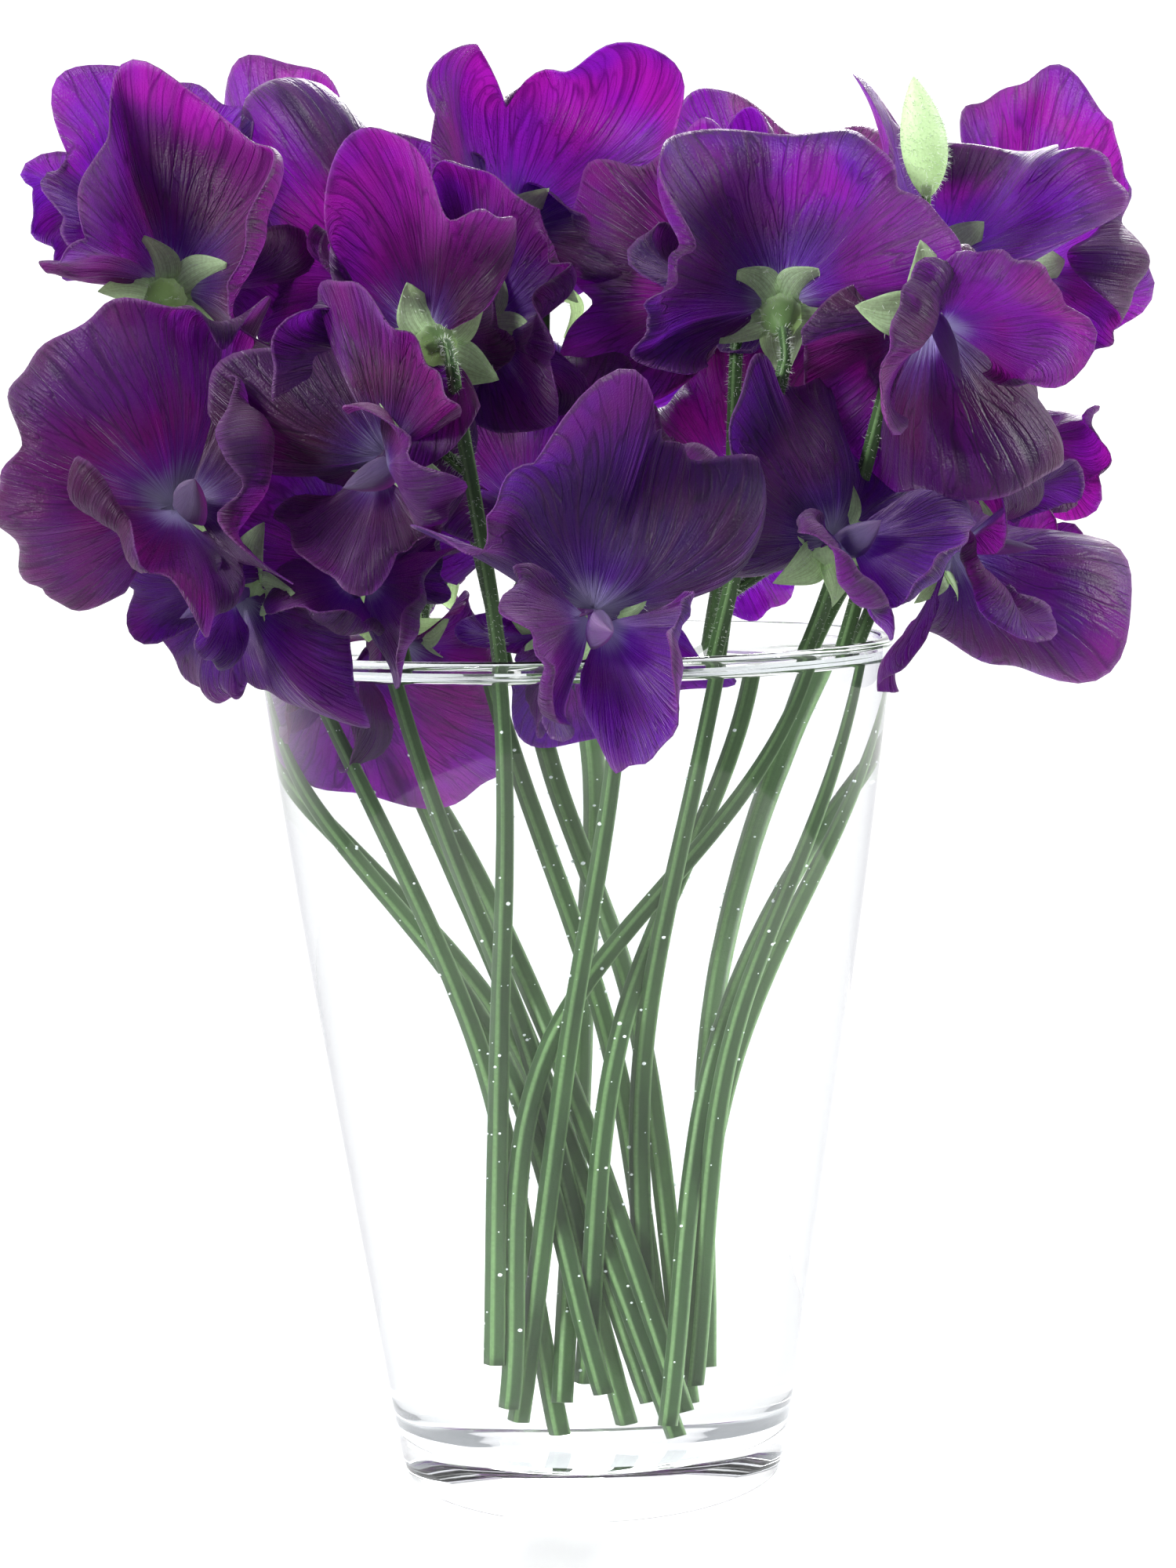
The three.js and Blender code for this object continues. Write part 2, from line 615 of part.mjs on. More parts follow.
function stemSolid(spray, extra) {
  const { stem, places, numbers } = spray;
  const points = stemPoints(spray);
  const runs = new Route(points).getSpacedPoints(STEM_STEPS);
  const pieces = [solidOf(tube(points, STEM_RADIUS + extra, STEM_SIDES, STEM_STEPS))];
  places.forEach((place, i) => {
    pieces.push(pedicelSolid(place, runs, extra));
    pieces.push(calyxSolid(numbers[i], place, extra));
  });
  if (stem.bud) pieces.push(budSolid(stem.bud, runs, extra));
  return joined(pieces).asOriginal().simplify(SMOOTHING);
}

// Whether two solids' boxes meet.
function near(a, b) {
  const [p, q] = [a.boundingBox(), b.boundingBox()];
  return [0, 1, 2].every((i) => p.min[i] < q.max[i] && q.min[i] < p.max[i]);
}

// The one body of a solid that holds its neck; a loose scrap that a cut leaves is dropped.
function bodyWith(solid, neck) {
  const bodies = solid.decompose();
  return bodies.length === 1 ? solid : bodies.find((body) => body.intersect(neck).volume() > 1);
}

// A solid cut clear of the rooms that its neighbours keep for themselves.
function clearOf(keepOuts, solid) {
  return keepOuts.reduce(
    (rest, keepOut) => (near(rest, keepOut) ? rest.subtract(keepOut) : rest),
    solid,
  );
}

// The whole vaseful

const materials = Object.fromEntries(
  Object.entries(COLOURS).map(([name, look]) => [name, new THREE.MeshStandardMaterial(look)]),
);
const bunch = new THREE.Group();

function addMesh(name, geometry, material) {
  const mesh = new THREE.Mesh(geometry, materials[material]);
  mesh.name = name;
  bunch.add(mesh);
}

const twoDigits = (number) => String(number).padStart(2, "0");

let flowersPlaced = 0;
const sprays = STEMS.map((stem, index) => ({
  stem,
  index,
  places: stem.flowers.map(placeOf),
  numbers: stem.flowers.map(() => ++flowersPlaced),
}));
for (const spray of sprays) {
  addMesh("stem_" + twoDigits(spray.index + 1), geometryOf(stemSolid(spray, 0)), "stem");
}

// A blossom gives way to every stem and to the blossoms before it, and the water to them all.
const keepOuts = sprays.map((spray) => stemSolid(spray, GAP));
for (const { stem, places, numbers } of sprays) {
  stem.flowers.forEach((flower, i) => {
    const whole = blossomSolid(flower, numbers[i], places[i], 0);
    const clear = clearOf(keepOuts, whole).asOriginal().simplify(SMOOTHING / 2);
    const blossom = bodyWith(clear, solidOf(keelGeometry(flower, 0), places[i]));
    addMesh("blossom_" + twoDigits(numbers[i]), geometryOf(blossom), "petal");
    keepOuts.push(blossomSolid(flower, numbers[i], places[i], GAP));
  });
}
const water = clearOf(keepOuts, solidOf(waterGeometry()));
addMesh("water", geometryOf(water.asOriginal().simplify(SMOOTHING / 2)), "water");
addMesh("vase", vaseGeometry(), "glass");

export default bunch;
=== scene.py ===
"""The looks of cut sweet peas in a clear glass vase of water.

Sizes are in millimetres until a mesh is made, which turns them into metres. A flower's own frame has its
calyx mouth at the origin, +X the way the flower faces and +Z the way its standard petal rises.
"""

import math

import bpy
import numpy as np
from mathutils import Matrix, Vector


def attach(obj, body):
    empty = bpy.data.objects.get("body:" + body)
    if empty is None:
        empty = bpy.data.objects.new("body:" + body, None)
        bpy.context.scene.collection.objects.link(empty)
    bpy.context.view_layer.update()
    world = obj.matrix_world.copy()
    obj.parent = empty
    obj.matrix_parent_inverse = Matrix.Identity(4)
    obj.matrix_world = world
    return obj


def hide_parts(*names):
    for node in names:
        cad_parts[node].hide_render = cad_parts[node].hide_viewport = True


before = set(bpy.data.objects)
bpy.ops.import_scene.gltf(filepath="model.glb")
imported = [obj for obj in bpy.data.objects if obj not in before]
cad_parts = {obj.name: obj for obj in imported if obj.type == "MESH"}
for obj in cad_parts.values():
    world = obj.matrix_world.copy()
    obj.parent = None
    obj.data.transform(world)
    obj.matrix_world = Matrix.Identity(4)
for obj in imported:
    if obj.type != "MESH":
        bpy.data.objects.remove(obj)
bpy.ops.object.select_all(action="DESELECT")
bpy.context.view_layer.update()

MM = 0.001

# The vase and the water
VASE_HEIGHT = 170
FOOT_RADIUS = 38.6
RIM_RADIUS = 63.2
SWELL = 0.9
WALL = 2.6
FLOOR = 10
FOOT_ROUND = 3
RIM_ROUND = 1.5
INSIDE_CORNER = 5.5
VASE_SIDES = 128
WATER_LEVEL = 166
WATER_EDGE = 167.9
WATER_GAP = 0.12

# Stems, cups and petals, for a flower of size 1. A living stem is a little thicker than its solid.
STEM_RADIUS = 1.1
FULL_STEM_RADIUS = 1.35 * STEM_RADIUS
BUD_RADIUS = 4
BUD_LENGTH = 22
PEDICEL_RADIUS = 0.85
PEDICEL_REACH = 6
CALYX_LENGTH = 7
CALYX_RADIUS = 3.5
SEPAL_LENGTH = 11.5
SEPAL_COUNT = 5
STANDARD_ROOT = (1.6, 0, 1)
STANDARD_REACH = 36
STANDARD_SPAN = 118
STANDARD_TILT = 36
STANDARD_FURL = 125
STANDARD_WAVES = (7, 13)
STANDARD_RIPPLES = 3.2
WING_ROOT = (5.5, 1.2, 0.4)
WING_REACH = 27
WING_SPAN = (-60, 66)
WING_TILT = -10
WING_FURL = 120
WING_WAVES = 3
WING_RIPPLES = 1.5
KEEL_LENGTH = 17
ROLL_START = 0.66
SHARPNESS = 0.93
WAVE_GROWTH = 1.5
PETAL_THICKNESS = 0.3

# How far a petal's surface moves for its ruffles, its turned margin, its dents and its pleats
RUFFLES = 4.0
MARGIN = 2.3
DENTS = 1.1
PLEATS = 0.3

# How finely things are divided: across and along a petal, and the rings and sides of what is round
STANDARD_GRID = (108, 30)
WING_GRID = (36, 18)
KEEL_GRID = (18, 14)
CUP_GRID = (9, 20)
SEPAL_GRID = (12, 6)
BUD_GRID = (26, 20)
STEM_SIDES = 24
PEDICEL_SIDES = 10

# The second value of a petal's tone, which tells the keel from the others
STANDARD, WING, KEEL = 0, 0.5, 1

# How many hairs are on a bud, on a stem above the water, on a cup and on a stalk, and bubbles on a stem
BUD_HAIRS = 900
STEM_HAIRS = 500
CUP_HAIRS = 360
PEDICEL_HAIRS = 260
HAIR_LENGTH = 0.9
CUP_HAIR_LENGTH = 0.85
HAIR_RADIUS = 0.05
STEM_BUBBLES = 48

# The heights where a stem stands on the vase's floor, where the stems gather, and where they pass the rim. A
# stem that is cut short starts up to FOOT_RISE of the way from the first to the second.
FOOT_LEVEL = FLOOR + 1
GATHER_LEVEL = 95
RIM_LEVEL = 163
FOOT_RISE = 0.2


def flower(at, facing, rise, size, fold, bend):
    """One flower: the place of its calyx mouth, the azimuth and elevation that it faces, the way its standard
    rises seen from the front, its size, and how far the standard folds and bends back."""
    return {"at": at, "facing": facing, "rise": rise, "size": size, "fold": fold, "bend": bend}


def stem(foot, gather, rim, flowers, bud=None):
    """One stem: its places at the three heights, seen from above, and what it bears."""
    return {"foot": foot, "gather": gather, "rim": rim, "flowers": flowers, "bud": bud}


STEMS = [
    stem((-4.8, 1.9), (-16.7, -2), (-45, -23.9), [
        flower((-59, -50, 183), (-50, 0), -155, 0.75, 35, 40),
        flower((-72, -57, 199), (25, 0), -35, 1.18, 14, 62),
    ]),
    stem((4, -4.9), (-14.2, 0), (-53.9, -3.8), [
        flower((-81, -10, 250), (-160, 30), -4, 0.85, 40, 60),
        flower((-75, -33, 238), (170, 25), 25, 0.95, 40, 50),
    ]),
    stem((10.7, -1.7), (-11.1, 7.4), (-49.8, 18.1), [
        flower((-68, 16, 240), (150, 15), 15, 1.0, 35, 50),
        flower((-58, 46, 250), (145, 35), 22, 0.95, 45, 40),
    ]),
    stem((-15.5, -2.5), (-13.3, -9.6), (-13.3, -53.4), [
        flower((-31, -66, 208), (-20, -30), -50, 0.85, 30, 60),
        flower((-24, -60, 227), (195, 0), -62, 0.95, 48, 45),
    ]),
    stem((5.2, 5.8), (-9.2, -6), (-30.8, -39.4), [
        flower((-38, -46, 186), (-10, -15), 5, 0.82, 25, 80),
        flower((-36, -12, 239), (30, 15), -18, 0.95, 35, 50),
    ]),
    stem((14.4, 4.2), (8.1, 3.2), (-6.2, 16.9), [
        flower((-1, 24, 243), (100, 10), 10, 0.85, 45, 45),
        flower((-11, 0, 249), (-150, 8), -5, 1.12, 60, 25),
    ]),
    stem((-11.6, 1.1), (-2.4, -11.3), (7.5, -53.5), [
        flower((3, -80, 180), (5, -22), 20, 0.98, 40, 60),
    ]),
    stem((11.9, 5.6), (3.4, 1.4), (-12.9, -15.3), [
        flower((-2, -33, 176), (10, -45), 175, 0.65, 30, 50),
        flower((-8, -16, 194), (-5, 10), -10, 0.95, 18, 60),
        flower((-18, -34, 230), (150, 5), 60, 0.85, 40, 60),
    ]),
    stem((7.6, 4.7), (9.3, -6), (24.1, -47.2), [
        flower((46, -57, 190), (35, 0), -20, 0.85, 40, 55),
        flower((39, -46, 232), (180, 28), -3, 1.02, 50, 30),
    ]),
    stem((-13.6, -2.6), (-4.9, -8.3), (40.2, -37.5), [
        flower((64, -68, 231), (10, -25), 168, 0.95, 58, 40),
    ]),
    stem((-2.3, 4.1), (5.4, -8.7), (27.2, -12.7), [
        flower((32, -10, 196), (12, 10), 5, 0.95, 18, 60),
        flower((33, -14, 236), (175, 20), -40, 0.95, 25, 45),
    ]),
    stem((14.1, -0.7), (23.3, -5.6), (49.7, -21.1), [
        flower((69, -36, 188), (52, 5), 100, 0.92, 45, 40),
        flower((70, -20, 240), (170, 12), 10, 1.08, 52, 32),
    ], bud=(66, -47, 252)),
    stem((10.1, 1.4), (24.2, -0.8), (54, 0), [
        flower((82, 8, 184), (100, -5), 75, 0.8, 15, 60),
        flower((91, 24, 241), (155, 15), 38, 1.0, 30, 45),
    ]),
    stem((11.3, -8.3), (20.6, 1.6), (47.6, 23.2), [
        flower((66, 54, 203), (125, 10), 20, 0.95, 15, 60),
        flower((84, 17, 208), (62, 0), 10, 0.85, 40, 50),
    ]),
    stem((16.5, 1.1), (18.2, 8.3), (27.6, 44.1), [
        flower((30, 72, 190), (165, -5), 10, 1.0, 15, 60),
        flower((44, 52, 247), (175, 25), 5, 1.0, 20, 50),
    ]),
    stem((-5.1, -3.5), (-0.4, 15.4), (0, 52), [
        flower((4, 56, 208), (0, 10), -5, 0.8, 15, 60),
        flower((-24, 62, 242), (175, 20), 0, 0.95, 20, 50),
    ]),
    stem((15.7, -5.4), (-5.3, 5.3), (-28.1, 44.9), [
        flower((-30, 68, 186), (200, -5), -10, 0.85, 15, 60),
        flower((-62, 50, 205), (225, 5), -10, 0.9, 15, 60),
    ]),
    stem((13, -4), (-8.9, 3.7), (-29, 7.8), [
        flower((-35, -4, 173), (-30, -45), 183, 0.85, 30, 45),
    ]),
]


def chance(number, purpose):
    """A fixed pseudo-random value from 0 to 1 for a flower's number and a purpose."""
    mixed = math.sin(number * 12.9898 + purpose * 78.233) * 43758.5453
    return mixed - math.floor(mixed)


# Helpers for modelling


def select_only(obj):
    """Makes one object the active and only selected one."""
    bpy.ops.object.select_all(action="DESELECT")
    bpy.context.view_layer.objects.active = obj
    obj.select_set(True)


def finished(obj, name, node):
    """Names a finished piece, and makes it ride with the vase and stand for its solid."""
    obj.name = name
    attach(obj, "root")
    if node:
        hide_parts(node)
    return obj


def apply_modifiers(obj):
    """Applies all of an object's modifiers, in their order."""
    select_only(obj)
    for modifier in list(obj.modifiers):
        bpy.ops.object.modifier_apply(modifier=modifier.name)


def joined(objects):
    """Joins several objects into the first."""
    bpy.ops.object.select_all(action="DESELECT")
    for obj in objects:
        obj.select_set(True)
    bpy.context.view_layer.objects.active = objects[0]
    bpy.ops.object.join()
    return bpy.context.view_layer.objects.active


def mesh_object(name, points, faces, uvs=None):
    """A mesh object from points in millimetres, its faces, and a UV place for each point."""
    mesh = bpy.data.meshes.new(name)
    mesh.from_pydata((np.asarray(points) * MM).tolist(), [], faces)
    if uvs is not None:
        layer = mesh.uv_layers.new(name="UVMap")
        corners = np.empty(len(mesh.loops), np.int32)
        mesh.loops.foreach_get("vertex_index", corners)
        layer.data.foreach_set("uv", np.asarray(uvs, np.float32)[corners].ravel())
    obj = bpy.data.objects.new(name, mesh)
    bpy.context.scene.collection.objects.link(obj)
    return obj


def ring_faces(rings, sides):
    """The faces of a closed body whose points lie in rings. It has one ring more than the number given."""
    faces = []
    for ring in range(rings):
        for side in range(sides):
            a, b = ring * sides + side, ring * sides + (side + 1) % sides
            faces.append((a, b, b + sides, a + sides))
    faces.append(tuple(reversed(range(sides))))
    faces.append(tuple(rings * sides + side for side in range(sides)))
    return faces


def smooth(obj):
    """Shades an object's faces smooth."""
    obj.data.polygons.foreach_set("use_smooth", [True] * len(obj.data.polygons))
    return obj


def tone(obj, first, second):
    """Gives every face of a piece the same two values in a UV map named tone."""
    layer = obj.data.uv_layers.new(name="tone")
    layer.data.foreach_set("uv", np.tile(np.array([first, second], np.float32), len(obj.data.loops)))


def turned_on_axis(profile, sides, material):
    """A solid of revolution, raised ring by ring from a circle as on a wheel, closed at both ends."""
    radius, height = profile[0]
    bpy.ops.mesh.primitive_circle_add(
        vertices=sides, radius=radius * MM, fill_type="NOTHING", location=(0, 0, height * MM)
    )
    obj = bpy.context.active_object
    bpy.ops.object.transform_apply(location=True, rotation=False, scale=False)
    bpy.ops.object.mode_set(mode="EDIT")
    bpy.ops.mesh.select_all(action="SELECT")
    for next_radius, next_height in profile[1:]:
        bpy.ops.mesh.extrude_edges_move(
            TRANSFORM_OT_translate={"value": (0, 0, (next_height - height) * MM)}
        )
        scale = next_radius / radius
        bpy.ops.transform.resize(value=(scale, scale, 1), center_override=(0, 0, next_height * MM))
        radius, height = next_radius, next_height
    bpy.ops.mesh.merge(type="CENTER")
    bpy.ops.mesh.select_all(action="SELECT")
    bpy.ops.mesh.fill_holes(sides=sides)
    bpy.ops.mesh.normals_make_consistent(inside=False)
    bpy.ops.object.mode_set(mode="OBJECT")
    obj.data.materials.append(material)
    return smooth(obj)


# The routes of the stems


def through(points, steps):
    """A Catmull-Rom route through points, with as many steps to each stretch."""
    points = [np.asarray(p, float) for p in points]
    ends = [2 * points[0] - points[1], *points, 2 * points[-1] - points[-2]]
    route = []
    for a, b, c, d in zip(ends, ends[1:], ends[2:], ends[3:]):
        for step in range(steps):
            t = step / steps
            start, end = 0.5 * (c - a), 0.5 * (d - b)
            curve = (2 * b - 2 * c + start + end) * t**3
            curve += (3 * c - 3 * b - 2 * start - end) * t**2 + start * t + b
            route.append(curve)
    route.append(points[-1])
    return np.array(route)


def placed(flower_values):
    """A flower's axes, as the columns of a matrix, and its place."""
    azimuth, elevation = (math.radians(v) for v in flower_values["facing"])
    forward = np.array([
        math.sin(azimuth) * math.cos(elevation),
        -math.cos(azimuth) * math.cos(elevation),
        math.sin(elevation),
    ])
    rise = math.radians(flower_values["rise"])
    up = np.array([math.sin(rise), 0, math.cos(rise)])
    up -= forward * up.dot(forward)
    up /= np.linalg.norm(up)
    left = np.cross(up, forward)
    return np.column_stack([forward, left, up]), np.array(flower_values["at"], float)


def node_behind(place):
    """The point behind and below a flower that its stem passes through."""
    axes, at = place
    point = at + axes @ np.array([-CALYX_LENGTH - PEDICEL_REACH, 0, 0])
    return point - np.array([0, 0, 0.5 * PEDICEL_REACH])


def stem_route(stem_values, index, places):
    """The line of a stem: from the floor to where the stems gather, then out over the rim to end behind its
    last flower. Some stems are cut shorter than others."""
    foot = np.array([*stem_values["foot"], FOOT_LEVEL], float)
    gather = np.array([*stem_values["gather"], GATHER_LEVEL], float)
    rim = np.array([*stem_values["rim"], RIM_LEVEL], float)
    foot += FOOT_RISE * chance(index, 90) * (gather - foot)
    return through([foot, gather, rim, node_behind(places[-1])], 24)


def nearest(route, target):
    """The point of a route that is nearest to a target."""
    return route[np.argmin(np.linalg.norm(route - target, axis=1))]


def pedicel_route(place, route):
    """The line of the stalk from the stem into the bottom of a flower's cup."""
    axes, at = place
    node = node_behind(place)
    start = nearest(route, node - np.array([0, 0, PEDICEL_REACH]))
    inside = at + axes @ np.array([-CALYX_LENGTH + 0.9, 0, 0])
    behind = at + axes @ np.array([-CALYX_LENGTH - 0.5 * PEDICEL_REACH, 0, 0])
    if np.linalg.norm(start - node) > 4:
        return through([start, node, behind, inside], 7)
    return through([start, behind, inside], 9)


# Petals


def unit(vector):
    """A vector at length one."""
    vector = np.asarray(vector, float)
    return vector / np.linalg.norm(vector)


def crease(angle):
    """A wave from -1 to 1 with sharp crests, as a petal folds."""
    return np.arcsin(SHARPNESS * np.sin(angle)) / math.asin(SHARPNESS)


def frill(angle, share, phases):
    """The ruffles and the turned margin along a petal's edge, the dents and the pleats further in, in
    millimetres."""
    swell = 0.55 + 0.45 * np.sin(2.9 * angle + phases[2])
    folds = 7.3 * angle + phases[0] + 0.9 * np.sin(2.3 * angle + phases[1])
    edge = RUFFLES * swell * share**2.6 * crease(folds)
    edge += share**5 * np.sin(17 * angle + phases[1] + 2 * share)
    margin = MARGIN * (np.maximum(share - 0.82, 0) / 0.18) ** 2 * np.sin(3.7 * angle + phases[1])
    dents = DENTS * share * np.sin(6 * share + 4 * angle + phases[2])
    crossing = np.sin(10 * share - 6.5 * angle + phases[0]) * np.sin(3 * angle + phases[1])
    dents += 0.5 * DENTS * share * crossing
    lines = 26 * angle + phases[1] + 1.5 * np.sin(4 * share + phases[2])
    pleats = PLEATS * share * (1.15 - share) * np.sin(lines)
    return edge + margin + dents + pleats


def scallops(angle, phases):
    """The small uneven scallops of a petal's outline, as a share of its reach."""
    return 1 + 0.022 * np.sin(12 * angle + phases[0]) + 0.014 * np.sin(21 * angle + phases[2])


def arc(length, heading, change):
    """How far an arc gets outwards and upwards that leaves at a heading and turns back by a change."""
    chord = length * np.sinc(change / (2 * math.pi))
    middle = heading - 0.5 * change
    return chord * np.cos(middle), chord * np.sin(middle)


def fan_points(fan, angle, share):
    """Points of a petal: rays from its root that leave at the fan's tilt, bend back over their length, roll
    up near their end, and fold back along the middle."""
    reach, bend = fan["reach"](angle) * scallops(angle, fan["phases"]), fan["bend"](angle)
    inner = np.minimum(share, ROLL_START)
    outer = share - inner
    heading = fan["tilt"] - bend * inner
    out, rise = arc(reach * inner, fan["tilt"], bend * inner)
    rolled = (bend + fan["roll"](angle) / (1 - ROLL_START)) * outer
    more_out, more_rise = arc(reach * outer, heading, rolled)
    heading = heading - rolled
    wave = fan["wave"](angle, share) + fan["size"] * frill(angle, share, fan["phases"])
    out += more_out - wave * np.sin(heading)
    rise += more_rise + wave * np.cos(heading)
    fold = fan["fold"] * np.tanh(angle / 0.3)
    side = out * np.sin(angle)
    across = side * np.cos(fold) + rise * np.sin(fold)
    facing = rise * np.cos(fold) - side * np.sin(fold)
    forward = out * np.cos(angle)
    return (
        np.asarray(fan["root"])
        + forward[:, None] * fan["along"]
        + across[:, None] * fan["across"]
        + facing[:, None] * fan["facing"]
    )


def standard_fan(values, number):
    """The broad back petal, with a notch at its top."""
    span = math.radians(STANDARD_SPAN)
    phase = [2 * math.pi * chance(number, 10 + i) for i in range(8)]
    furl = math.radians(STANDARD_FURL)
    shallow, deep = STANDARD_WAVES
    depth = shallow + (deep - shallow) * chance(number, 18)
    point, notch = (span * (1.6 * chance(number, purpose) - 0.8) for purpose in (19, 35))

    def reach(angle):
        share = np.abs(angle) / span
        lobes = 0.694 + 0.306 * np.cos(angle / 1.35) - 0.1 * np.exp(-((angle / 0.16) ** 2))
        edge = 1 + 0.06 * np.sin(2.4 * angle + phase[3]) + 0.05 * np.sin(4.6 * angle + phase[2])
        edge += 0.12 * np.exp(-np.abs(angle - point) / 0.14) - 0.13 * np.exp(-np.abs(angle - notch) / 0.1)
        return values["size"] * STANDARD_REACH * lobes * edge * (1 - 0.38 * share**6)

    def bend(angle):
        uneven = 1 + 0.6 * np.sin(2.1 * angle + phase[4]) + 0.3 * np.sin(3.9 * angle + phase[5])
        return math.radians(values["bend"]) * uneven

    def roll(angle):
        return furl * np.sin(1.7 * angle + phase[6]) * (0.65 + 0.35 * np.sin(3.3 * angle + phase[7]))

    def wave(angle, share):
        waves = depth * crease(3 * angle + phase[0])
        waves += STANDARD_RIPPLES * crease(5.7 * angle + phase[1])
        return values["size"] * share**WAVE_GROWTH * waves

    return {
        "root": STANDARD_ROOT,
        "along": np.array([0.0, 0, 1]),
        "across": np.array([0.0, 1, 0]),
        "facing": np.array([1.0, 0, 0]),
        "span": (-span, span),
        "tilt": math.radians(STANDARD_TILT),
        "fold": math.radians(values["fold"]),
        "size": values["size"],
        "phases": [2 * math.pi * chance(number, 50 + i) for i in range(3)],
        "reach": reach,
        "bend": bend,
        "roll": roll,
        "wave": wave,
    }


def wing_fan(values, number, side):
    """One of the two petals that stand over the keel; side is 1 for the left and -1 for the right."""
    start, end = (math.radians(v) for v in WING_SPAN)
    phase = [2 * math.pi * chance(number, 20 + i + 5 * side) for i in range(4)]
    spread = math.radians(16 + 22 * chance(number, 30 + side))
    lean = math.radians(28 + 24 * chance(number, 32 + side))
    curve = math.radians(-38 + 56 * chance(number, 34 + side))
    along = unit([math.cos(spread), side * math.sin(spread), -0.12])
    up = np.array([0, side * math.sin(lean), math.cos(lean)])
    across = unit(up - along * up.dot(along))

    def reach(angle):
        share = 2 * (angle - start) / (end - start) - 1
        edge = 1 + 0.06 * np.sin(4 * angle + phase[2])
        return values["size"] * WING_REACH * edge * (1 - 0.12 * share**2 - 0.36 * share**6)

    def bend(angle):
        return curve + math.radians(25) * np.sin(2.2 * angle + phase[3])

    def roll(angle):
        return math.radians(WING_FURL) * np.sin(2.4 * angle + phase[1])

    def wave(angle, share):
        waves = WING_WAVES * crease(3.4 * angle + phase[0])
        waves += WING_RIPPLES * crease(6.1 * angle + phase[1])
        return values["size"] * share**WAVE_GROWTH * waves

    return {
        "root": np.array(WING_ROOT) * (1, side, 1),
        "along": along,
        "across": across,
        "facing": side * np.cross(along, across),
        "span": (start, end),
        "tilt": math.radians(WING_TILT),
        "fold": 0,
        "size": 0.8 * values["size"],
        "phases": [2 * math.pi * chance(number, 55 + i + 3 * side) for i in range(3)],
        "reach": reach,
        "bend": bend,
        "roll": roll,
        "wave": wave,
    }


def petal(fan, place, grid_size, kind, number):
    """A thin petal: a grid laid along the fan's rays, welded at the root and given its thickness."""
    across, out = grid_size
    bpy.ops.mesh.primitive_grid_add(x_subdivisions=across, y_subdivisions=out, size=1)
    obj = bpy.context.active_object
    grid = np.empty(len(obj.data.vertices) * 3, np.float32)
    obj.data.vertices.foreach_get("co", grid)
    grid = grid.reshape(-1, 3) + 0.5
    angle = fan["span"][0] + (fan["span"][1] - fan["span"][0]) * grid[:, 0]
    axes, at = place
    points = at + fan_points(fan, angle, grid[:, 1] ** 0.85) @ axes.T
    obj.data.vertices.foreach_set("co", (points * MM).astype(np.float32).ravel())
    obj.data.update()
    bpy.ops.object.mode_set(mode="EDIT")
    bpy.ops.mesh.select_all(action="SELECT")
    bpy.ops.mesh.remove_doubles(threshold=0.01 * MM)
    bpy.ops.object.mode_set(mode="OBJECT")
    tone(obj, chance(number, 70), kind)
    solidify = obj.modifiers.new("thickness", "SOLIDIFY")
    solidify.thickness = PETAL_THICKNESS * MM
    solidify.offset = 0
    apply_modifiers(obj)
    obj.data.materials.append(MATERIALS["petal"])
    return smooth(obj)


def keel(values, place, number):
    """The small upturned boat between the wings, flattened from side to side, with its neck in the cup."""
    length = values["size"] * KEEL_LENGTH
    rings, sides = KEEL_GRID
    points, uvs = [], []
    for ring in range(rings + 1):
        share = ring / rings
        x = -3.4 + share * (length + 6)
        belly = math.sin(math.pi * min(1, share * 1.02) ** 1.25) ** 0.75
        radius = values["size"] * 2.9 * belly * (1 - 0.35 * math.exp(-((share - 0.25) / 0.12) ** 2)) + 0.02
        lift = 5.5 * values["size"] * share**3
        for side in range(sides):
            around = 2 * math.pi * side / sides
            y = 0.6 * radius * math.sin(around)
            ridge = 1 + 0.16 * math.exp(-((around - math.pi) / 0.35) ** 2)
            points.append((x, y, 1.15 * radius * math.cos(around) * ridge + lift))
            uvs.append((abs(2 * side / sides - 1), share))
    # The rings run round the other way here, so the faces are turned over
    faces = [(face[0], *reversed(face[1:])) for face in ring_faces(rings, sides)]
    axes, at = place
    obj = mesh_object("keel", at + np.array(points) @ axes.T, faces, uvs)
    tone(obj, chance(number, 70), KEEL)
    obj.data.materials.append(MATERIALS["petal"])
    return smooth(obj)


def blossom(values, number, place):
    """The four petals' worth of one flower: standard, two wings and the keel."""
    petals = [petal(standard_fan(values, number), place, STANDARD_GRID, STANDARD, number)]
    for side in (1, -1):
        petals.append(petal(wing_fan(values, number, side), place, WING_GRID, WING, number))
    petals.append(keel(values, place, number))
    name = f"blossom_{number:02d}"
    return finished(joined(petals), name + "_petals", name)


# Green parts


def tube(route, radii, sides, ridge):
    """A closed tube along a route, with a radius at each point and four lengthwise ridges."""
    tangents = np.gradient(route, axis=0)
    tangents /= np.linalg.norm(tangents, axis=1)[:, None]
    side = unit(np.cross(tangents[0], (0.3, 0.8, 0.1)))
    points, uvs = [], []
    for i, (centre, tangent) in enumerate(zip(route, tangents)):
        side = unit(side - tangent * side.dot(tangent))
        other = np.cross(tangent, side)
        for k in range(sides):
            around = 2 * math.pi * k / sides
            radius = radii[i] * (1 + ridge * math.cos(4 * around) + 0.6 * ridge * math.cos(2 * around))
            points.append(centre + radius * (math.cos(around) * side + math.sin(around) * other))
            uvs.append((abs(2 * k / sides - 1), i / (len(route) - 1)))
    return points, ring_faces(len(route) - 1, sides), uvs


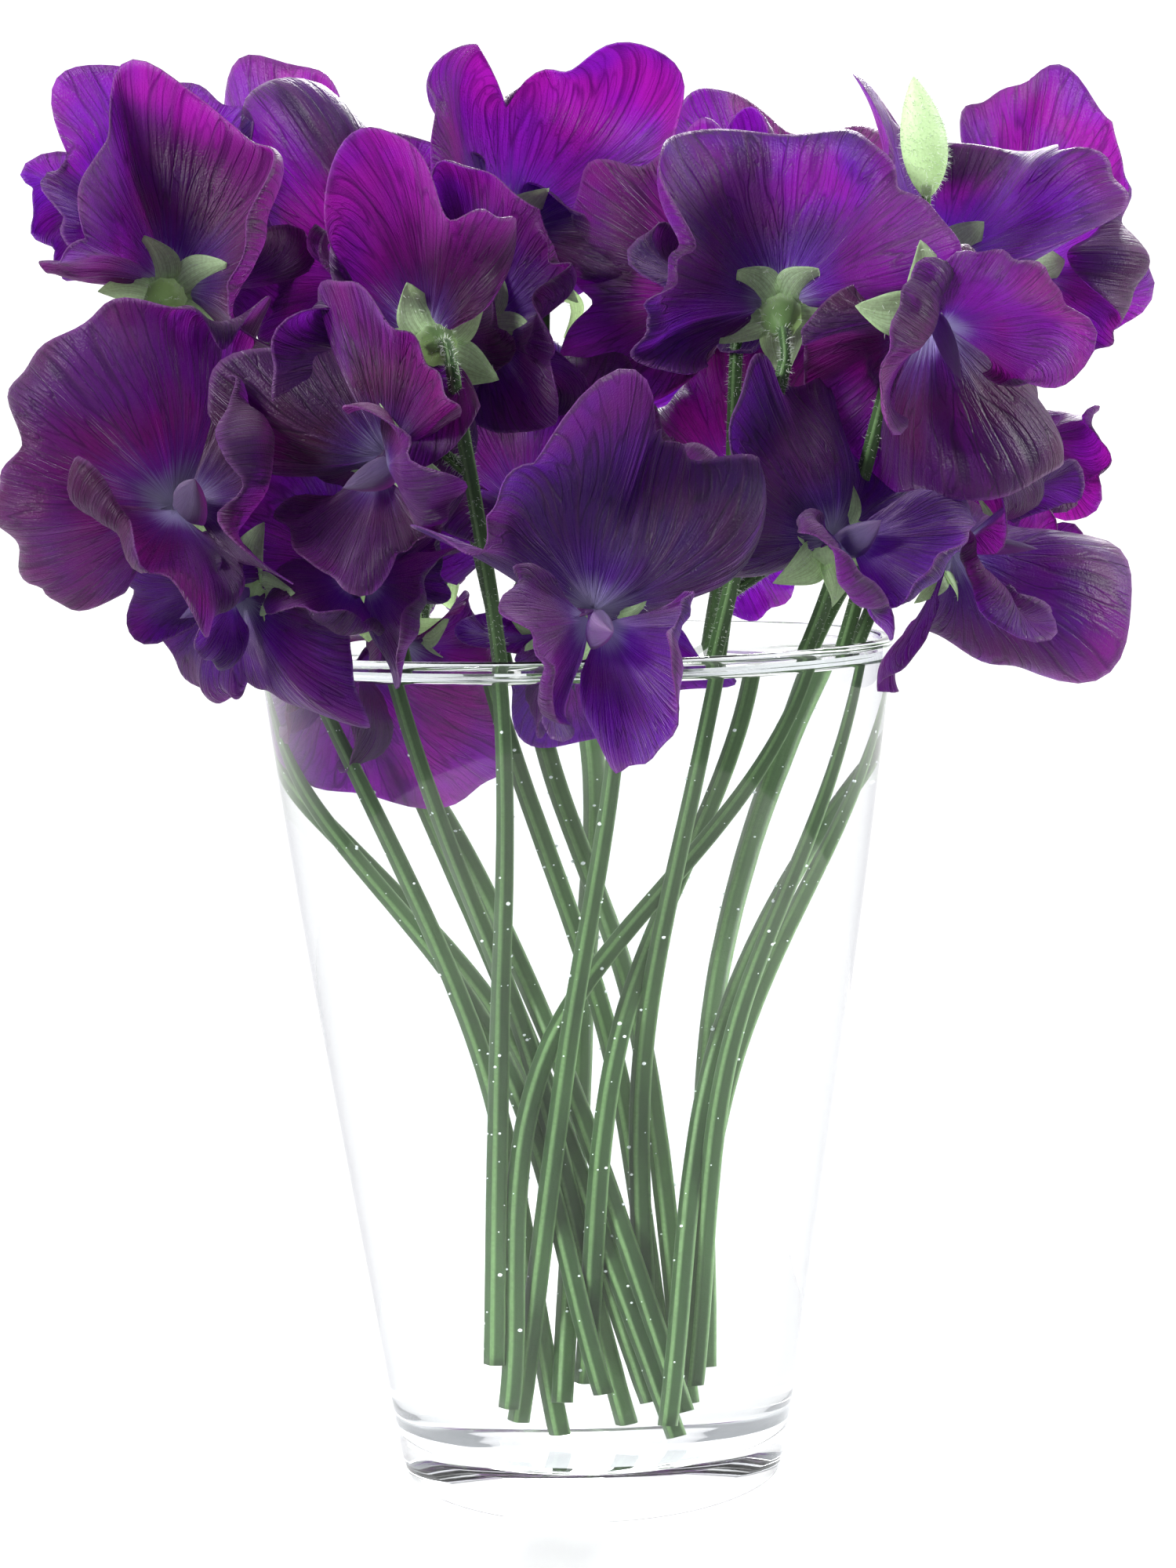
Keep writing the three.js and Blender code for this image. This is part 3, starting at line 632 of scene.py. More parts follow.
def calyx(number, place):
    """The ribbed cup behind a flower, and its five lobes, pointed and curled back."""
    points, uvs = [], []
    rings, sides = CUP_GRID
    for ring in range(rings + 1):
        share = ring / rings
        x = -CALYX_LENGTH - 0.6 + share * (CALYX_LENGTH + 1.6)
        radius = 0.9 + (CALYX_RADIUS - 0.6) * math.sin(0.5 * math.pi * min(1, 1.25 * share)) ** 0.8
        for side in range(sides):
            around = 2 * math.pi * side / sides
            ribbed = radius * (1 + 0.045 * math.cos(10 * around))
            points.append((x, -ribbed * math.sin(around), ribbed * math.cos(around)))
            uvs.append((0.5, 0.45 * share))
    faces = ring_faces(rings, sides)
    for lobe in range(SEPAL_COUNT):
        column = 2 * lobe + 1
        curl = 0.4 + 0.9 * chance(number, 40 + column)
        add_sepal(points, faces, uvs, math.pi * column / SEPAL_COUNT, curl)
    axes, at = place
    return at + np.array(points) @ axes.T, faces, uvs


def add_sepal(points, faces, uvs, around, curl):
    """Adds one pointed lobe at a turn around the cup: keeled along its middle, broad in its lower third."""
    steps, columns = SEPAL_GRID
    thickness = 0.3
    tip_radius = CALYX_RADIUS + SEPAL_LENGTH * (1 - 0.2 * curl)
    tip_x = 2.4 - 4.4 * curl
    first = len(points)
    for face in (1, -1):
        for step in range(steps + 1):
            share = step / steps
            bow = math.sin(math.pi * share)
            x = 0.2 + (tip_x - 0.2) * share**1.6 + 1.5 * bow
            radius = CALYX_RADIUS - 0.5 + (tip_radius - CALYX_RADIUS + 0.5) * share
            width = 3.2 * (1 - share) ** 0.6 * (1 + 0.7 * bow) + 0.05
            for column in range(columns + 1):
                across = 2 * column / columns - 1
                groove = 0.5 * width * (abs(across) - 0.5) * 0.7
                turn = 0.35 * share * math.sin(7 * curl + around)
                y_local = width * across
                depth = groove + turn * y_local + face * 0.5 * thickness * (1 - 0.6 * share)
                points.append((
                    x + depth,
                    -(radius * math.sin(around) + y_local * math.cos(around)),
                    radius * math.cos(around) - y_local * math.sin(around),
                ))
                uvs.append((0.5 + 0.5 * across, 0.45 + 0.55 * share))
    row = columns + 1
    sheet = (steps + 1) * row
    for step in range(steps):
        for column in range(columns):
            a = first + step * row + column
            faces.append((a, a + row, a + row + 1, a + 1))
            faces.append((sheet + a, sheet + a + 1, sheet + a + row + 1, sheet + a + row))
    rim = list(range(columns + 1))
    rim += [step * row + columns for step in range(1, steps + 1)]
    rim += [steps * row + column for column in range(columns - 1, -1, -1)]
    rim += [step * row for step in range(steps - 1, 0, -1)]
    for i, a in enumerate(rim):
        b = rim[(i + 1) % len(rim)]
        faces.append((first + a, first + b, first + sheet + b, first + sheet + a))


def combined(parts):
    """Several lists of points, faces and UV places as one."""
    points, faces, uvs = [], [], []
    for more_points, more_faces, more_uvs in parts:
        start = len(points)
        points.extend(more_points)
        faces.extend(tuple(start + i for i in face) for face in more_faces)
        uvs.extend(more_uvs)
    return points, faces, uvs


def hairs(surface, count, length, seed):
    """Fine hairs that stand out of a surface, as three-sided spikes at seeded places on its faces."""
    rng = np.random.default_rng(seed)
    points, faces = surface
    points = np.asarray(points)
    corners = np.array([(f[0], f[i], f[i + 1]) for f in faces if len(f) < 6 for i in range(1, len(f) - 1)])
    a, b, c = (points[corners[:, i]] for i in range(3))
    normals = np.cross(b - a, c - a)
    areas = np.linalg.norm(normals, axis=1)
    chosen = rng.choice(len(corners), count, p=areas / areas.sum())
    u, v = rng.random(count), rng.random(count)
    flip = u + v > 1
    u[flip], v[flip] = 1 - u[flip], 1 - v[flip]
    root = a[chosen] + u[:, None] * (b - a)[chosen] + v[:, None] * (c - a)[chosen]
    normal = normals[chosen] / areas[chosen][:, None]
    lean = normal + 0.35 * rng.normal(size=(count, 3))
    lengths = length * (0.5 + rng.random(count))
    tip = root + lean / np.linalg.norm(lean, axis=1)[:, None] * lengths[:, None]
    side = np.cross(normal, rng.normal(size=(count, 3)))
    side /= np.linalg.norm(side, axis=1)[:, None]
    other = np.cross(normal, side)
    spikes = np.empty((count, 4, 3))
    for k in range(3):
        around = 2 * math.pi * k / 3
        out = math.cos(around) * side + math.sin(around) * other
        spikes[:, k] = root + HAIR_RADIUS * (out - normal)
    spikes[:, 3] = tip
    spike_faces = []
    for i in range(count):
        s = 4 * i
        spike_faces += [(s, s + 1, s + 3), (s + 1, s + 2, s + 3), (s + 2, s, s + 3), (s + 2, s + 1, s)]
    uvs = np.tile([(0, 0), (0, 0), (0, 0), (0, 1)], (count, 1))
    return spikes.reshape(-1, 3), spike_faces, uvs


def bud_parts(bud, route):
    """The young bud on its stalk: a pale spindle, flattened and leaning at its tip."""
    base = np.array(bud, float)
    start = nearest(route, base - np.array([0, 0, 1.4 * BUD_LENGTH]))
    above = np.array([0, 0, 3])
    stalk_line = through([start, 0.5 * (start + base) - above, base + above], 8)
    stalk = tube(stalk_line, np.full(len(stalk_line), PEDICEL_RADIUS), 8, 0.05)
    points, uvs = [], []
    rings, sides = BUD_GRID
    for ring in range(rings + 1):
        share = ring / rings
        swell = math.sin(math.pi * share**0.85) ** 0.8 + 0.02
        for side in range(sides):
            around = 2 * math.pi * side / sides
            x = BUD_RADIUS * 1.05 * swell * math.cos(around)
            y = BUD_RADIUS * 0.62 * swell * math.sin(around) * (1 + 0.25 * math.cos(around))
            lean = 2.2 * share**2
            points.append(base + np.array([x - lean, y, BUD_LENGTH * share]))
            uvs.append((0.5, 0.35 + 0.65 * share))
    return stalk, (points, ring_faces(rings, sides), uvs)


def stem_piece(values, index, places, first_number):
    """One stem with its stalks, its cups and its bud if it has one, and the down on its upper part."""
    route = stem_route(values, index, places)
    shares = np.linspace(0, 1, len(route))
    radii = FULL_STEM_RADIUS * (1.02 - 0.25 * shares**2)
    stalks = [tube(route, radii, STEM_SIDES, 0.09)]
    cups = []
    for i, place in enumerate(places):
        line = pedicel_route(place, route)
        radii = PEDICEL_RADIUS * (1.3 - 0.3 * np.sin(math.pi * np.linspace(0, 1, len(line))))
        stalks.append(tube(line, radii, PEDICEL_SIDES, 0.05))
        cups.append(calyx(first_number + i, place))
    name = f"stem_{index + 1:02d}"
    if values["bud"]:
        stalk, bud = bud_parts(values["bud"], route)
        stalks.append(stalk)
        obj = smooth(mesh_object("bud", *bud))
        obj.data.materials.append(MATERIALS["bud"])
        finished(obj, name + "_bud", None)
        add_hairs(name + "_bud_down", hairs(bud[:2], BUD_HAIRS, HAIR_LENGTH, 700 + index))
    stalk_obj = smooth(mesh_object("stalk", *combined(stalks)))
    stalk_obj.data.materials.append(MATERIALS["stem"])
    finished(stalk_obj, name + "_stalks", name)
    cup_obj = smooth(mesh_object("cups", *combined(cups)))
    cup_obj.data.materials.append(MATERIALS["calyx"])
    finished(cup_obj, name + "_calyxes", None)
    above = route[:, 2] > WATER_LEVEL
    upper = tube(route[above], np.full(above.sum(), 0.78 * FULL_STEM_RADIUS), 8, 0)
    down = [
        hairs(upper[:2], STEM_HAIRS, HAIR_LENGTH, 100 + index),
        hairs(combined(cups)[:2], CUP_HAIRS * len(cups), CUP_HAIR_LENGTH, 300 + index),
        hairs(combined(stalks[1:])[:2], PEDICEL_HAIRS * len(cups), HAIR_LENGTH, 500 + index),
    ]
    add_hairs(name + "_down", combined(down))


def add_hairs(name, parts):
    """Makes a piece of hairs."""
    obj = mesh_object(name, *parts)
    obj.data.materials.append(MATERIALS["down"])
    return finished(obj, name, None)


# The vase, the water and the bubbles


def outer_radius(z):
    """The vase's outer radius at a height."""
    share = max(z, 0) / VASE_HEIGHT
    return FOOT_RADIUS + (RIM_RADIUS - FOOT_RADIUS) * share + SWELL * math.sin(math.pi * share**1.6)


def inside_profile(clearance, top):
    """The inner wall from the middle of its floor up to a height, with a rounded corner."""
    corner = INSIDE_CORNER
    profile = [(share * (outer_radius(FLOOR) - WALL - 6), FLOOR + 0.5 * share**2 + clearance)
               for share in (0.02, 0.35, 0.7, 0.9)]
    centre_radius = outer_radius(FLOOR + corner) - WALL - corner
    for step in range(9):
        angle = 0.5 * math.pi * step / 8
        profile.append((
            centre_radius + (corner - clearance) * math.sin(angle),
            FLOOR + 0.5 + corner - (corner - clearance) * math.cos(angle),
        ))
    heights = list(np.linspace(FLOOR + 2 + corner, min(top, WATER_EDGE), 38))
    if top > WATER_EDGE:
        heights += list(np.linspace(WATER_EDGE, top, 5))[1:]
    return profile + [(outer_radius(z) - WALL - clearance, float(z)) for z in heights]


def vase():
    """The glass: a thick solid foot, tapered walls with faint ripples low down, and a fire-rounded rim."""
    outside = [(0.02 * FOOT_RADIUS, 0.9), (0.55 * FOOT_RADIUS, 0.8), (0.82 * FOOT_RADIUS, 0.35)]
    outside.append((FOOT_RADIUS - 4.2, 0))
    for step in range(1, 7):
        angle = 0.5 * math.pi * step / 6
        round_radius = FOOT_RADIUS - FOOT_ROUND + FOOT_ROUND * math.sin(angle)
        outside.append((round_radius, FOOT_ROUND - FOOT_ROUND * math.cos(angle)))
    for step in range(1, 49):
        z = FOOT_ROUND + (VASE_HEIGHT - RIM_ROUND - FOOT_ROUND) * step / 48
        outside.append((outer_radius(z), z))
    middle = outer_radius(VASE_HEIGHT) - 0.5 * WALL
    for step in range(1, 8):
        angle = math.pi * step / 8
        outside.append((
            middle + 0.5 * WALL * math.cos(angle),
            VASE_HEIGHT - RIM_ROUND + RIM_ROUND * math.sin(angle),
        ))
    profile = outside + inside_profile(0, VASE_HEIGHT - RIM_ROUND)[::-1]
    obj = turned_on_axis(profile, VASE_SIDES, MATERIALS["glass"])
    obj.data.materials.append(MATERIALS["wet glass"])
    for face in obj.data.polygons:
        x, y, z = face.center / MM
        inside = math.hypot(x, y) < outer_radius(z) - 0.6 * WALL
        if inside and FLOOR - 1 < z < WATER_EDGE:
            face.material_index = 1
    uneven(obj)
    return finished(obj, "vase_glass", "vase")


def uneven(obj):
    """Moves the inner wall in and out by a few hundredths of its thickness, as moulded glass has it."""
    points = np.empty(len(obj.data.vertices) * 3, np.float32)
    obj.data.vertices.foreach_get("co", points)
    points = points.reshape(-1, 3)
    x, y, z = (points / MM).T
    radius = np.hypot(x, y)
    around = np.arctan2(y, x)
    wall = np.array([outer_radius(height) for height in z])
    inside = (radius < wall - 0.6 * WALL) & (z > FLOOR - 1) & (z < VASE_HEIGHT - 8)
    low = np.exp(-((z - 24) / 16) ** 2)
    ripple = 0.16 * low * np.sin(0.9 * z + 1.5 * np.sin(3 * around)) * np.cos(2 * around + 0.6)
    ripple += 0.05 * np.sin(0.11 * z + 2 * around)
    scale = np.where(inside & (radius > 20), 1 + ripple / np.maximum(radius, 1), 1)
    points[:, 0] *= scale
    points[:, 1] *= scale
    obj.data.vertices.foreach_set("co", points.ravel())
    obj.data.update()


def water():
    """The water, which climbs the glass a little at its edge."""
    profile = inside_profile(WATER_GAP, WATER_LEVEL - 0.2)
    edge = outer_radius(WATER_LEVEL) - WALL - WATER_GAP
    profile.append((edge - 0.02, WATER_EDGE))
    for inset, rise in ((0.4, 1.2), (1.0, 0.6), (2.2, 0.1), (4, -0.3), (7, -0.4)):
        profile.append((edge - inset, WATER_LEVEL + rise))
    profile.append((1, WATER_LEVEL - 0.4))
    obj = turned_on_axis(profile, VASE_SIDES, MATERIALS["water"])
    obj.data.materials.append(MATERIALS["water side"])
    for face in obj.data.polygons:
        if face.normal.z < 0.2:
            face.material_index = 1
    return finished(obj, "water_body", "water")


def bubbles(routes):
    """Small air bubbles that cling to the stems under water."""
    rng = np.random.default_rng(41)
    bpy.ops.mesh.primitive_ico_sphere_add(subdivisions=1, radius=1)
    model = bpy.context.active_object
    ball = np.array([v.co[:] for v in model.data.vertices])
    ball_faces = [tuple(p.vertices) for p in model.data.polygons]
    bpy.data.objects.remove(model)
    parts = []
    for route in routes:
        wet = route[(route[:, 2] < WATER_LEVEL - 4) & (route[:, 2] > FLOOR + 3)]
        for _ in range(STEM_BUBBLES):
            i = int(len(wet) * rng.random() ** 0.7)
            radius = 0.12 + 0.3 * rng.random() ** 3
            around = rng.random() * 2 * math.pi
            side = np.array([math.cos(around), math.sin(around), 0.2 * rng.normal()])
            centre = wet[min(i, len(wet) - 1)] + side * (FULL_STEM_RADIUS + 0.4 * radius)
            parts.append((centre + ball * radius, ball_faces, np.zeros((len(ball), 2))))
    obj = smooth(mesh_object("bubbles", *combined(parts)))
    obj.data.materials.append(MATERIALS["bubble"])
    return finished(obj, "stem_bubbles", None)


# Materials


def new_material(name):
    """An empty node material with its output, and short ways to add nodes and links."""
    material = bpy.data.materials.new(name)
    material.use_nodes = True
    tree = material.node_tree
    tree.nodes.clear()
    output = tree.nodes.new("ShaderNodeOutputMaterial")
    return material, tree, output


def node(tree, kind, **values):
    """Adds a node. Values named after a property set it; the rest set inputs, or link them to an output. In
    an input's name an underscore stands for a space, and i0 is the first input."""
    made = tree.nodes.new(kind)
    for name, value in values.items():
        if hasattr(made, name) and name not in made.inputs:
            setattr(made, name, value)
            continue
        numbered = name[0] == "i" and name[1:].isdigit()
        socket = made.inputs[int(name[1:]) if numbered else name.replace("_", " ")]
        if isinstance(value, bpy.types.NodeSocket):
            tree.links.new(value, socket)
        else:
            socket.default_value = value
    return made


def math_node(tree, operation, first, second=None):
    """A Math node's output."""
    made = node(tree, "ShaderNodeMath", operation=operation, i0=first)
    if second is not None:
        if isinstance(second, bpy.types.NodeSocket):
            tree.links.new(second, made.inputs[1])
        else:
            made.inputs[1].default_value = second
    return made.outputs[0]


def mix_colour(tree, factor, first, second):
    """A colour between two, by a factor."""
    made = tree.nodes.new("ShaderNodeMix")
    made.data_type = "RGBA"
    for socket, value in ((made.inputs[0], factor), (made.inputs[6], first), (made.inputs[7], second)):
        if isinstance(value, bpy.types.NodeSocket):
            tree.links.new(value, socket)
        else:
            socket.default_value = value if isinstance(value, float) else (*value, 1)
    return made.outputs[2]


def tinted(tree, body, mask, share, colour):
    """A colour that takes on a share of another one where a mask is bright."""
    return mix_colour(tree, math_node(tree, "MULTIPLY", mask, share), body, colour)


def graded(tree, value, low, high):
    """A value spread smoothly to run from 0 at low to 1 at high."""
    made = tree.nodes.new("ShaderNodeMapRange")
    made.interpolation_type = "SMOOTHSTEP"
    tree.links.new(value, made.inputs["Value"])
    made.inputs["From Min"].default_value = low
    made.inputs["From Max"].default_value = high
    return made.outputs["Result"]


def new_group(name, inputs, outputs):
    """A node group with its inputs and their kinds, and its outputs, which are plain numbers."""
    group = bpy.data.node_groups.new(name, "ShaderNodeTree")
    for socket, kind in inputs.items():
        group.interface.new_socket(socket, in_out="INPUT", socket_type="NodeSocket" + kind)
    for socket in outputs:
        group.interface.new_socket(socket, in_out="OUTPUT", socket_type="NodeSocketFloat")
    return group, group.nodes.new("NodeGroupInput"), group.nodes.new("NodeGroupOutput")


def vein_group():
    """Fine veins that fan out from a petal's claw and fork towards its edge, from its UV places."""
    inputs = {"Vector": "Vector", "Spread": "Float"}
    group, entry, leave = new_group("petal veins", inputs, ("Veins", "Streaks"))
    parts = node(group, "ShaderNodeSeparateXYZ", Vector=entry.outputs["Vector"])
    across = math_node(group, "MULTIPLY", parts.outputs[0], entry.outputs["Spread"])
    place = node(group, "ShaderNodeCombineXYZ", X=across, Y=parts.outputs[1])
    lines = None
    for fineness, length, breadth in ((0.8, 1.3, 0.03), (1.9, 3.0, 0.045)):
        stretched = node(group, "ShaderNodeMapping", Vector=place.outputs[0], Scale=(fineness, length, 1))
        hills = node(group, "ShaderNodeTexNoise", Vector=stretched.outputs[0], Scale=1.0, Detail=1.0)
        level = math_node(group, "ABSOLUTE", math_node(group, "SUBTRACT", hills.outputs["Fac"], 0.5))
        line = graded(group, level, breadth, 0.0)
        if lines:
            line = math_node(group, "MAXIMUM", lines, math_node(group, "MULTIPLY", line, 0.55))
        lines = line
    group.links.new(lines, leave.inputs["Veins"])
    long = node(group, "ShaderNodeMapping", Vector=place.outputs[0], Scale=(2.2, 0.8, 1))
    streaks = node(
        group, "ShaderNodeTexNoise", Vector=long.outputs[0], Scale=1.0, Detail=4.0, Roughness=0.62
    )
    group.links.new(streaks.outputs["Fac"], leave.inputs["Streaks"])
    return group


def mottle_group():
    """Soft blotches and a fine grain, from a piece's own place."""
    inputs = {"Blotch size": "Float", "Grain size": "Float"}
    group, entry, leave = new_group("plant mottle", inputs, ("Blotches", "Grain"))
    place = group.nodes.new("ShaderNodeTexCoord").outputs["Object"]
    sizes = entry.outputs
    blotches = node(group, "ShaderNodeTexNoise", Vector=place, Scale=sizes["Blotch size"], Detail=3.0)
    grain = node(group, "ShaderNodeTexNoise", Vector=place, Scale=sizes["Grain size"], Detail=2.0)
    group.links.new(blotches.outputs["Fac"], leave.inputs["Blotches"])
    group.links.new(grain.outputs["Fac"], leave.inputs["Grain"])
    return group


def grouped(tree, group, **values):
    """Places a node group with its own values."""
    made = tree.nodes.new("ShaderNodeGroup")
    made.node_tree = group
    for name, value in values.items():
        socket = made.inputs[name.replace("_", " ")]
        if isinstance(value, bpy.types.NodeSocket):
            tree.links.new(value, socket)
        else:
            socket.default_value = value
    return made


def thin_shader(tree, output, surface, through_colour, share, normal):
    """Lets light through a thin closed sheet: a Translucent share, and nothing in the way on the inner
    side."""
    glow = node(tree, "ShaderNodeBsdfTranslucent", Color=through_colour, Normal=normal)
    mixed = node(tree, "ShaderNodeMixShader", i0=share, i1=surface, i2=glow.outputs[0])
    side = node(tree, "ShaderNodeNewGeometry")
    clear = node(tree, "ShaderNodeBsdfTransparent")
    final = node(tree, "ShaderNodeMixShader", i0=side.outputs["Backfacing"], i1=mixed.outputs[0],
                 i2=clear.outputs[0])
    tree.links.new(final.outputs[0], output.inputs["Surface"])


def petal_material(veins, mottle):
    """Plum to violet petals, pale at the claw, with forking veins, that glow where light comes through. Their
    lighter streaks are partly painted sheen, and their margin has a painted highlight.
    """
    material, tree, output = new_material("sweet pea petal")
    along = node(tree, "ShaderNodeUVMap", uv_map="UVMap")
    tones = node(tree, "ShaderNodeUVMap", uv_map="tone")
    place = node(tree, "ShaderNodeSeparateXYZ", Vector=along.outputs[0])
    values = node(tree, "ShaderNodeSeparateXYZ", Vector=tones.outputs[0])
    lines = grouped(tree, veins, Vector=along.outputs[0], Spread=46.0)
    spots = grouped(tree, mottle, Blotch_size=42.0, Grain_size=2600.0)
    hue = math_node(tree, "ADD", graded(tree, spots.outputs["Blotches"], 0.38, 0.62), values.outputs[0])
    hue = math_node(tree, "MULTIPLY", hue, 0.5)
    vein = math_node(tree, "MULTIPLY", lines.outputs["Veins"], 0.5)
    # Lighter streaks along the veins: partly the petal's own streaked tone, partly painted sheen. They also
    # dim the light that comes through.
    streak_and_sheen = graded(tree, lines.outputs["Streaks"], 0.42, 0.75)
    body = mix_colour(tree, hue, (0.042, 0.007, 0.028), (0.022, 0.006, 0.058))
    body = mix_colour(tree, vein, body, (0.006, 0.001, 0.010))
    body = tinted(tree, body, streak_and_sheen, 0.5, (0.12, 0.035, 0.13))
    reached = math_node(tree, "ADD", place.outputs[1], math_node(
        tree, "MULTIPLY", math_node(tree, "SUBTRACT", lines.outputs["Streaks"], 0.5), -0.3))
    near_claw = graded(tree, reached, 0.42, 0.02)
    body = tinted(tree, body, near_claw, 0.6, (0.10, 0.03, 0.34))
    at_claw = graded(tree, reached, 0.2, 0.0)
    body = tinted(tree, body, at_claw, 0.8, (0.55, 0.50, 0.85))
    at_keel = graded(tree, values.outputs[1], 0.7, 1.0)
    body = tinted(tree, body, at_keel, 0.8, (0.36, 0.30, 0.56))
    # Painted highlight: the petal's margin is made lighter, as thin turned edges catch the light.
    painted_edge_highlight = graded(tree, place.outputs[1], 0.965, 1.0)
    body = tinted(tree, body, painted_edge_highlight, 0.5, (0.20, 0.07, 0.24))
    light = mix_colour(tree, hue, (0.38, 0.008, 0.34), (0.18, 0.006, 0.56))
    light = mix_colour(tree, vein, light, (0.04, 0.001, 0.07))
    light = tinted(tree, light, streak_and_sheen, 0.55, (0.03, 0.001, 0.05))
    light = tinted(tree, light, near_claw, 0.6, (0.20, 0.04, 0.80))
    light = mix_colour(tree, at_claw, light, (0.55, 0.48, 0.92))
    bumps = math_node(tree, "ADD", math_node(tree, "MULTIPLY", lines.outputs["Veins"], -0.35),
                      math_node(tree, "MULTIPLY", lines.outputs["Streaks"], 1.6))
    bumps = math_node(tree, "ADD", bumps, math_node(tree, "MULTIPLY", spots.outputs["Grain"], 0.3))
    bump = node(tree, "ShaderNodeBump", Height=bumps, Strength=1.0, Distance=0.6 * MM)
    rough = math_node(tree, "ADD", math_node(tree, "MULTIPLY", spots.outputs["Grain"], 0.3), 0.3)
    surface = node(
        tree, "ShaderNodeBsdfPrincipled", Base_Color=body, Roughness=rough, Normal=bump.outputs[0],
        Specular_IOR_Level=0.35, Sheen_Weight=0.3, Sheen_Roughness=0.3, Sheen_Tint=(0.92, 0.68, 1.0, 1)
    )
    thin_shader(tree, output, surface.outputs[0], light, 0.36, bump.outputs[0])
    return material


def green_material(name, veins, mottle, dark, pale, rib_and_highlight, through, lobe_share, share):
    """Downy green tissue. It runs from a darker cup or stem to paler tips, by its lengthwise UV place. Its
    ribs may be paler, partly their own colour and partly a painted highlight."""
    material, tree, output = new_material(name)
    along = node(tree, "ShaderNodeUVMap", uv_map="UVMap")
    place = node(tree, "ShaderNodeSeparateXYZ", Vector=along.outputs[0])
    spots = grouped(tree, mottle, Blotch_size=160.0, Grain_size=1800.0)
    grade = math_node(tree, "ADD", place.outputs[1], math_node(
        tree, "MULTIPLY", math_node(tree, "SUBTRACT", spots.outputs["Blotches"], 0.5), 0.5))
    body = mix_colour(tree, graded(tree, grade, *lobe_share), dark, pale)
    around = math_node(tree, "COSINE", math_node(tree, "MULTIPLY", place.outputs[0], 4 * math.pi))
    # Paler ridges: partly the ribs' own colour, partly a painted highlight where the ridges catch the light.
    if rib_and_highlight:
        body = mix_colour(tree, graded(tree, around, 0.1, 1.0), body, rib_and_highlight)
    lines = grouped(tree, veins, Vector=along.outputs[0], Spread=24.0)
    fibres = graded(tree, lines.outputs["Streaks"], 0.4, 0.62)
    body = tinted(tree, body, fibres, 0.45, tuple(0.5 * c for c in dark))
    shade = graded(tree, spots.outputs["Grain"], 0.3, 0.7)
    body = tinted(tree, body, shade, 0.25, tuple(0.55 * c for c in dark))
    bump = node(tree, "ShaderNodeBump", Height=spots.outputs["Grain"], Strength=0.35, Distance=0.15 * MM)
    surface = node(
        tree, "ShaderNodeBsdfPrincipled", Base_Color=body, Roughness=0.5, Normal=bump.outputs[0],
        Specular_IOR_Level=0.35, Sheen_Weight=0.1
    )
    through_colour = mix_colour(tree, 0.5, body, through)
    thin_shader(tree, output, surface.outputs[0], through_colour, share, bump.outputs[0])
    return material


def down_material():
    """Pale hairs, whiter at their tips."""
    material, tree, output = new_material("pale down")
    along = node(tree, "ShaderNodeUVMap", uv_map="UVMap")
    place = node(tree, "ShaderNodeSeparateXYZ", Vector=along.outputs[0])
    body = mix_colour(tree, place.outputs[1], (0.55, 0.66, 0.50), (0.92, 0.95, 0.92))
    surface = node(tree, "ShaderNodeBsdfPrincipled", Base_Color=body, Roughness=0.45)
    tree.links.new(surface.outputs[0], output.inputs["Surface"])
    return material


def clear_material(name, tint, refraction, shadow_tint, painted_edge_shade=None, ripples=0):
    """Glass or water. It bends light, may have painted grey shade where it turns away, and lets the light of
    lamps through to what is inside. Light that has been caught in it for long goes straight on."""
    material, tree, output = new_material(name)
    surface = node(
        tree, "ShaderNodeBsdfPrincipled", Base_Color=(*tint, 1), IOR=refraction, Roughness=0.0,
        Transmission_Weight=1.0
    )
    # Painted shade: the glass is tinted grey where it turns away, standing in for the darker surroundings
    # seen in its edges.
    if painted_edge_shade:
        turned = node(tree, "ShaderNodeLayerWeight", Blend=0.5)
        colour = mix_colour(tree, graded(tree, turned.outputs["Facing"], 0.72, 0.97), tint, painted_edge_shade)
        tree.links.new(colour, surface.inputs["Base Color"])
    if ripples:
        place = node(tree, "ShaderNodeTexCoord")
        flow = node(tree, "ShaderNodeMapping", Vector=place.outputs["Object"], Scale=(1, 1, 2.2))
        noise = node(tree, "ShaderNodeTexNoise", Vector=flow.outputs[0], Scale=ripples, Detail=1.5)
        bump = node(tree, "ShaderNodeBump", Height=noise.outputs["Fac"], Strength=0.12, Distance=0.4 * MM)
        tree.links.new(bump.outputs[0], surface.inputs["Normal"])
    clear = node(tree, "ShaderNodeBsdfTransparent", Color=(*shadow_tint, 1))
    rays = node(tree, "ShaderNodeLightPath")
    caught = math_node(tree, "GREATER_THAN", rays.outputs["Ray Depth"], 6.0)
    straight = math_node(tree, "MAXIMUM", rays.outputs["Is Shadow Ray"], caught)
    final = node(tree, "ShaderNodeMixShader", i0=straight, i1=surface.outputs[0], i2=clear.outputs[0])
    tree.links.new(final.outputs[0], output.inputs["Surface"])
    return material


def bubble_material():
    """Air bubbles under water, painted pale as a stand-in for the silver light that they reflect."""
    material, tree, output = new_material("air bubble")
    # Painted reflection: an opaque pale colour stands in for the silvery light reflected by the bubbles.
    surface = node(
        tree, "ShaderNodeBsdfPrincipled", Base_Color=(0.88, 0.95, 0.95, 1), Roughness=0.2,
        Specular_IOR_Level=0.8
    )
    tree.links.new(surface.outputs[0], output.inputs["Surface"])
    return material


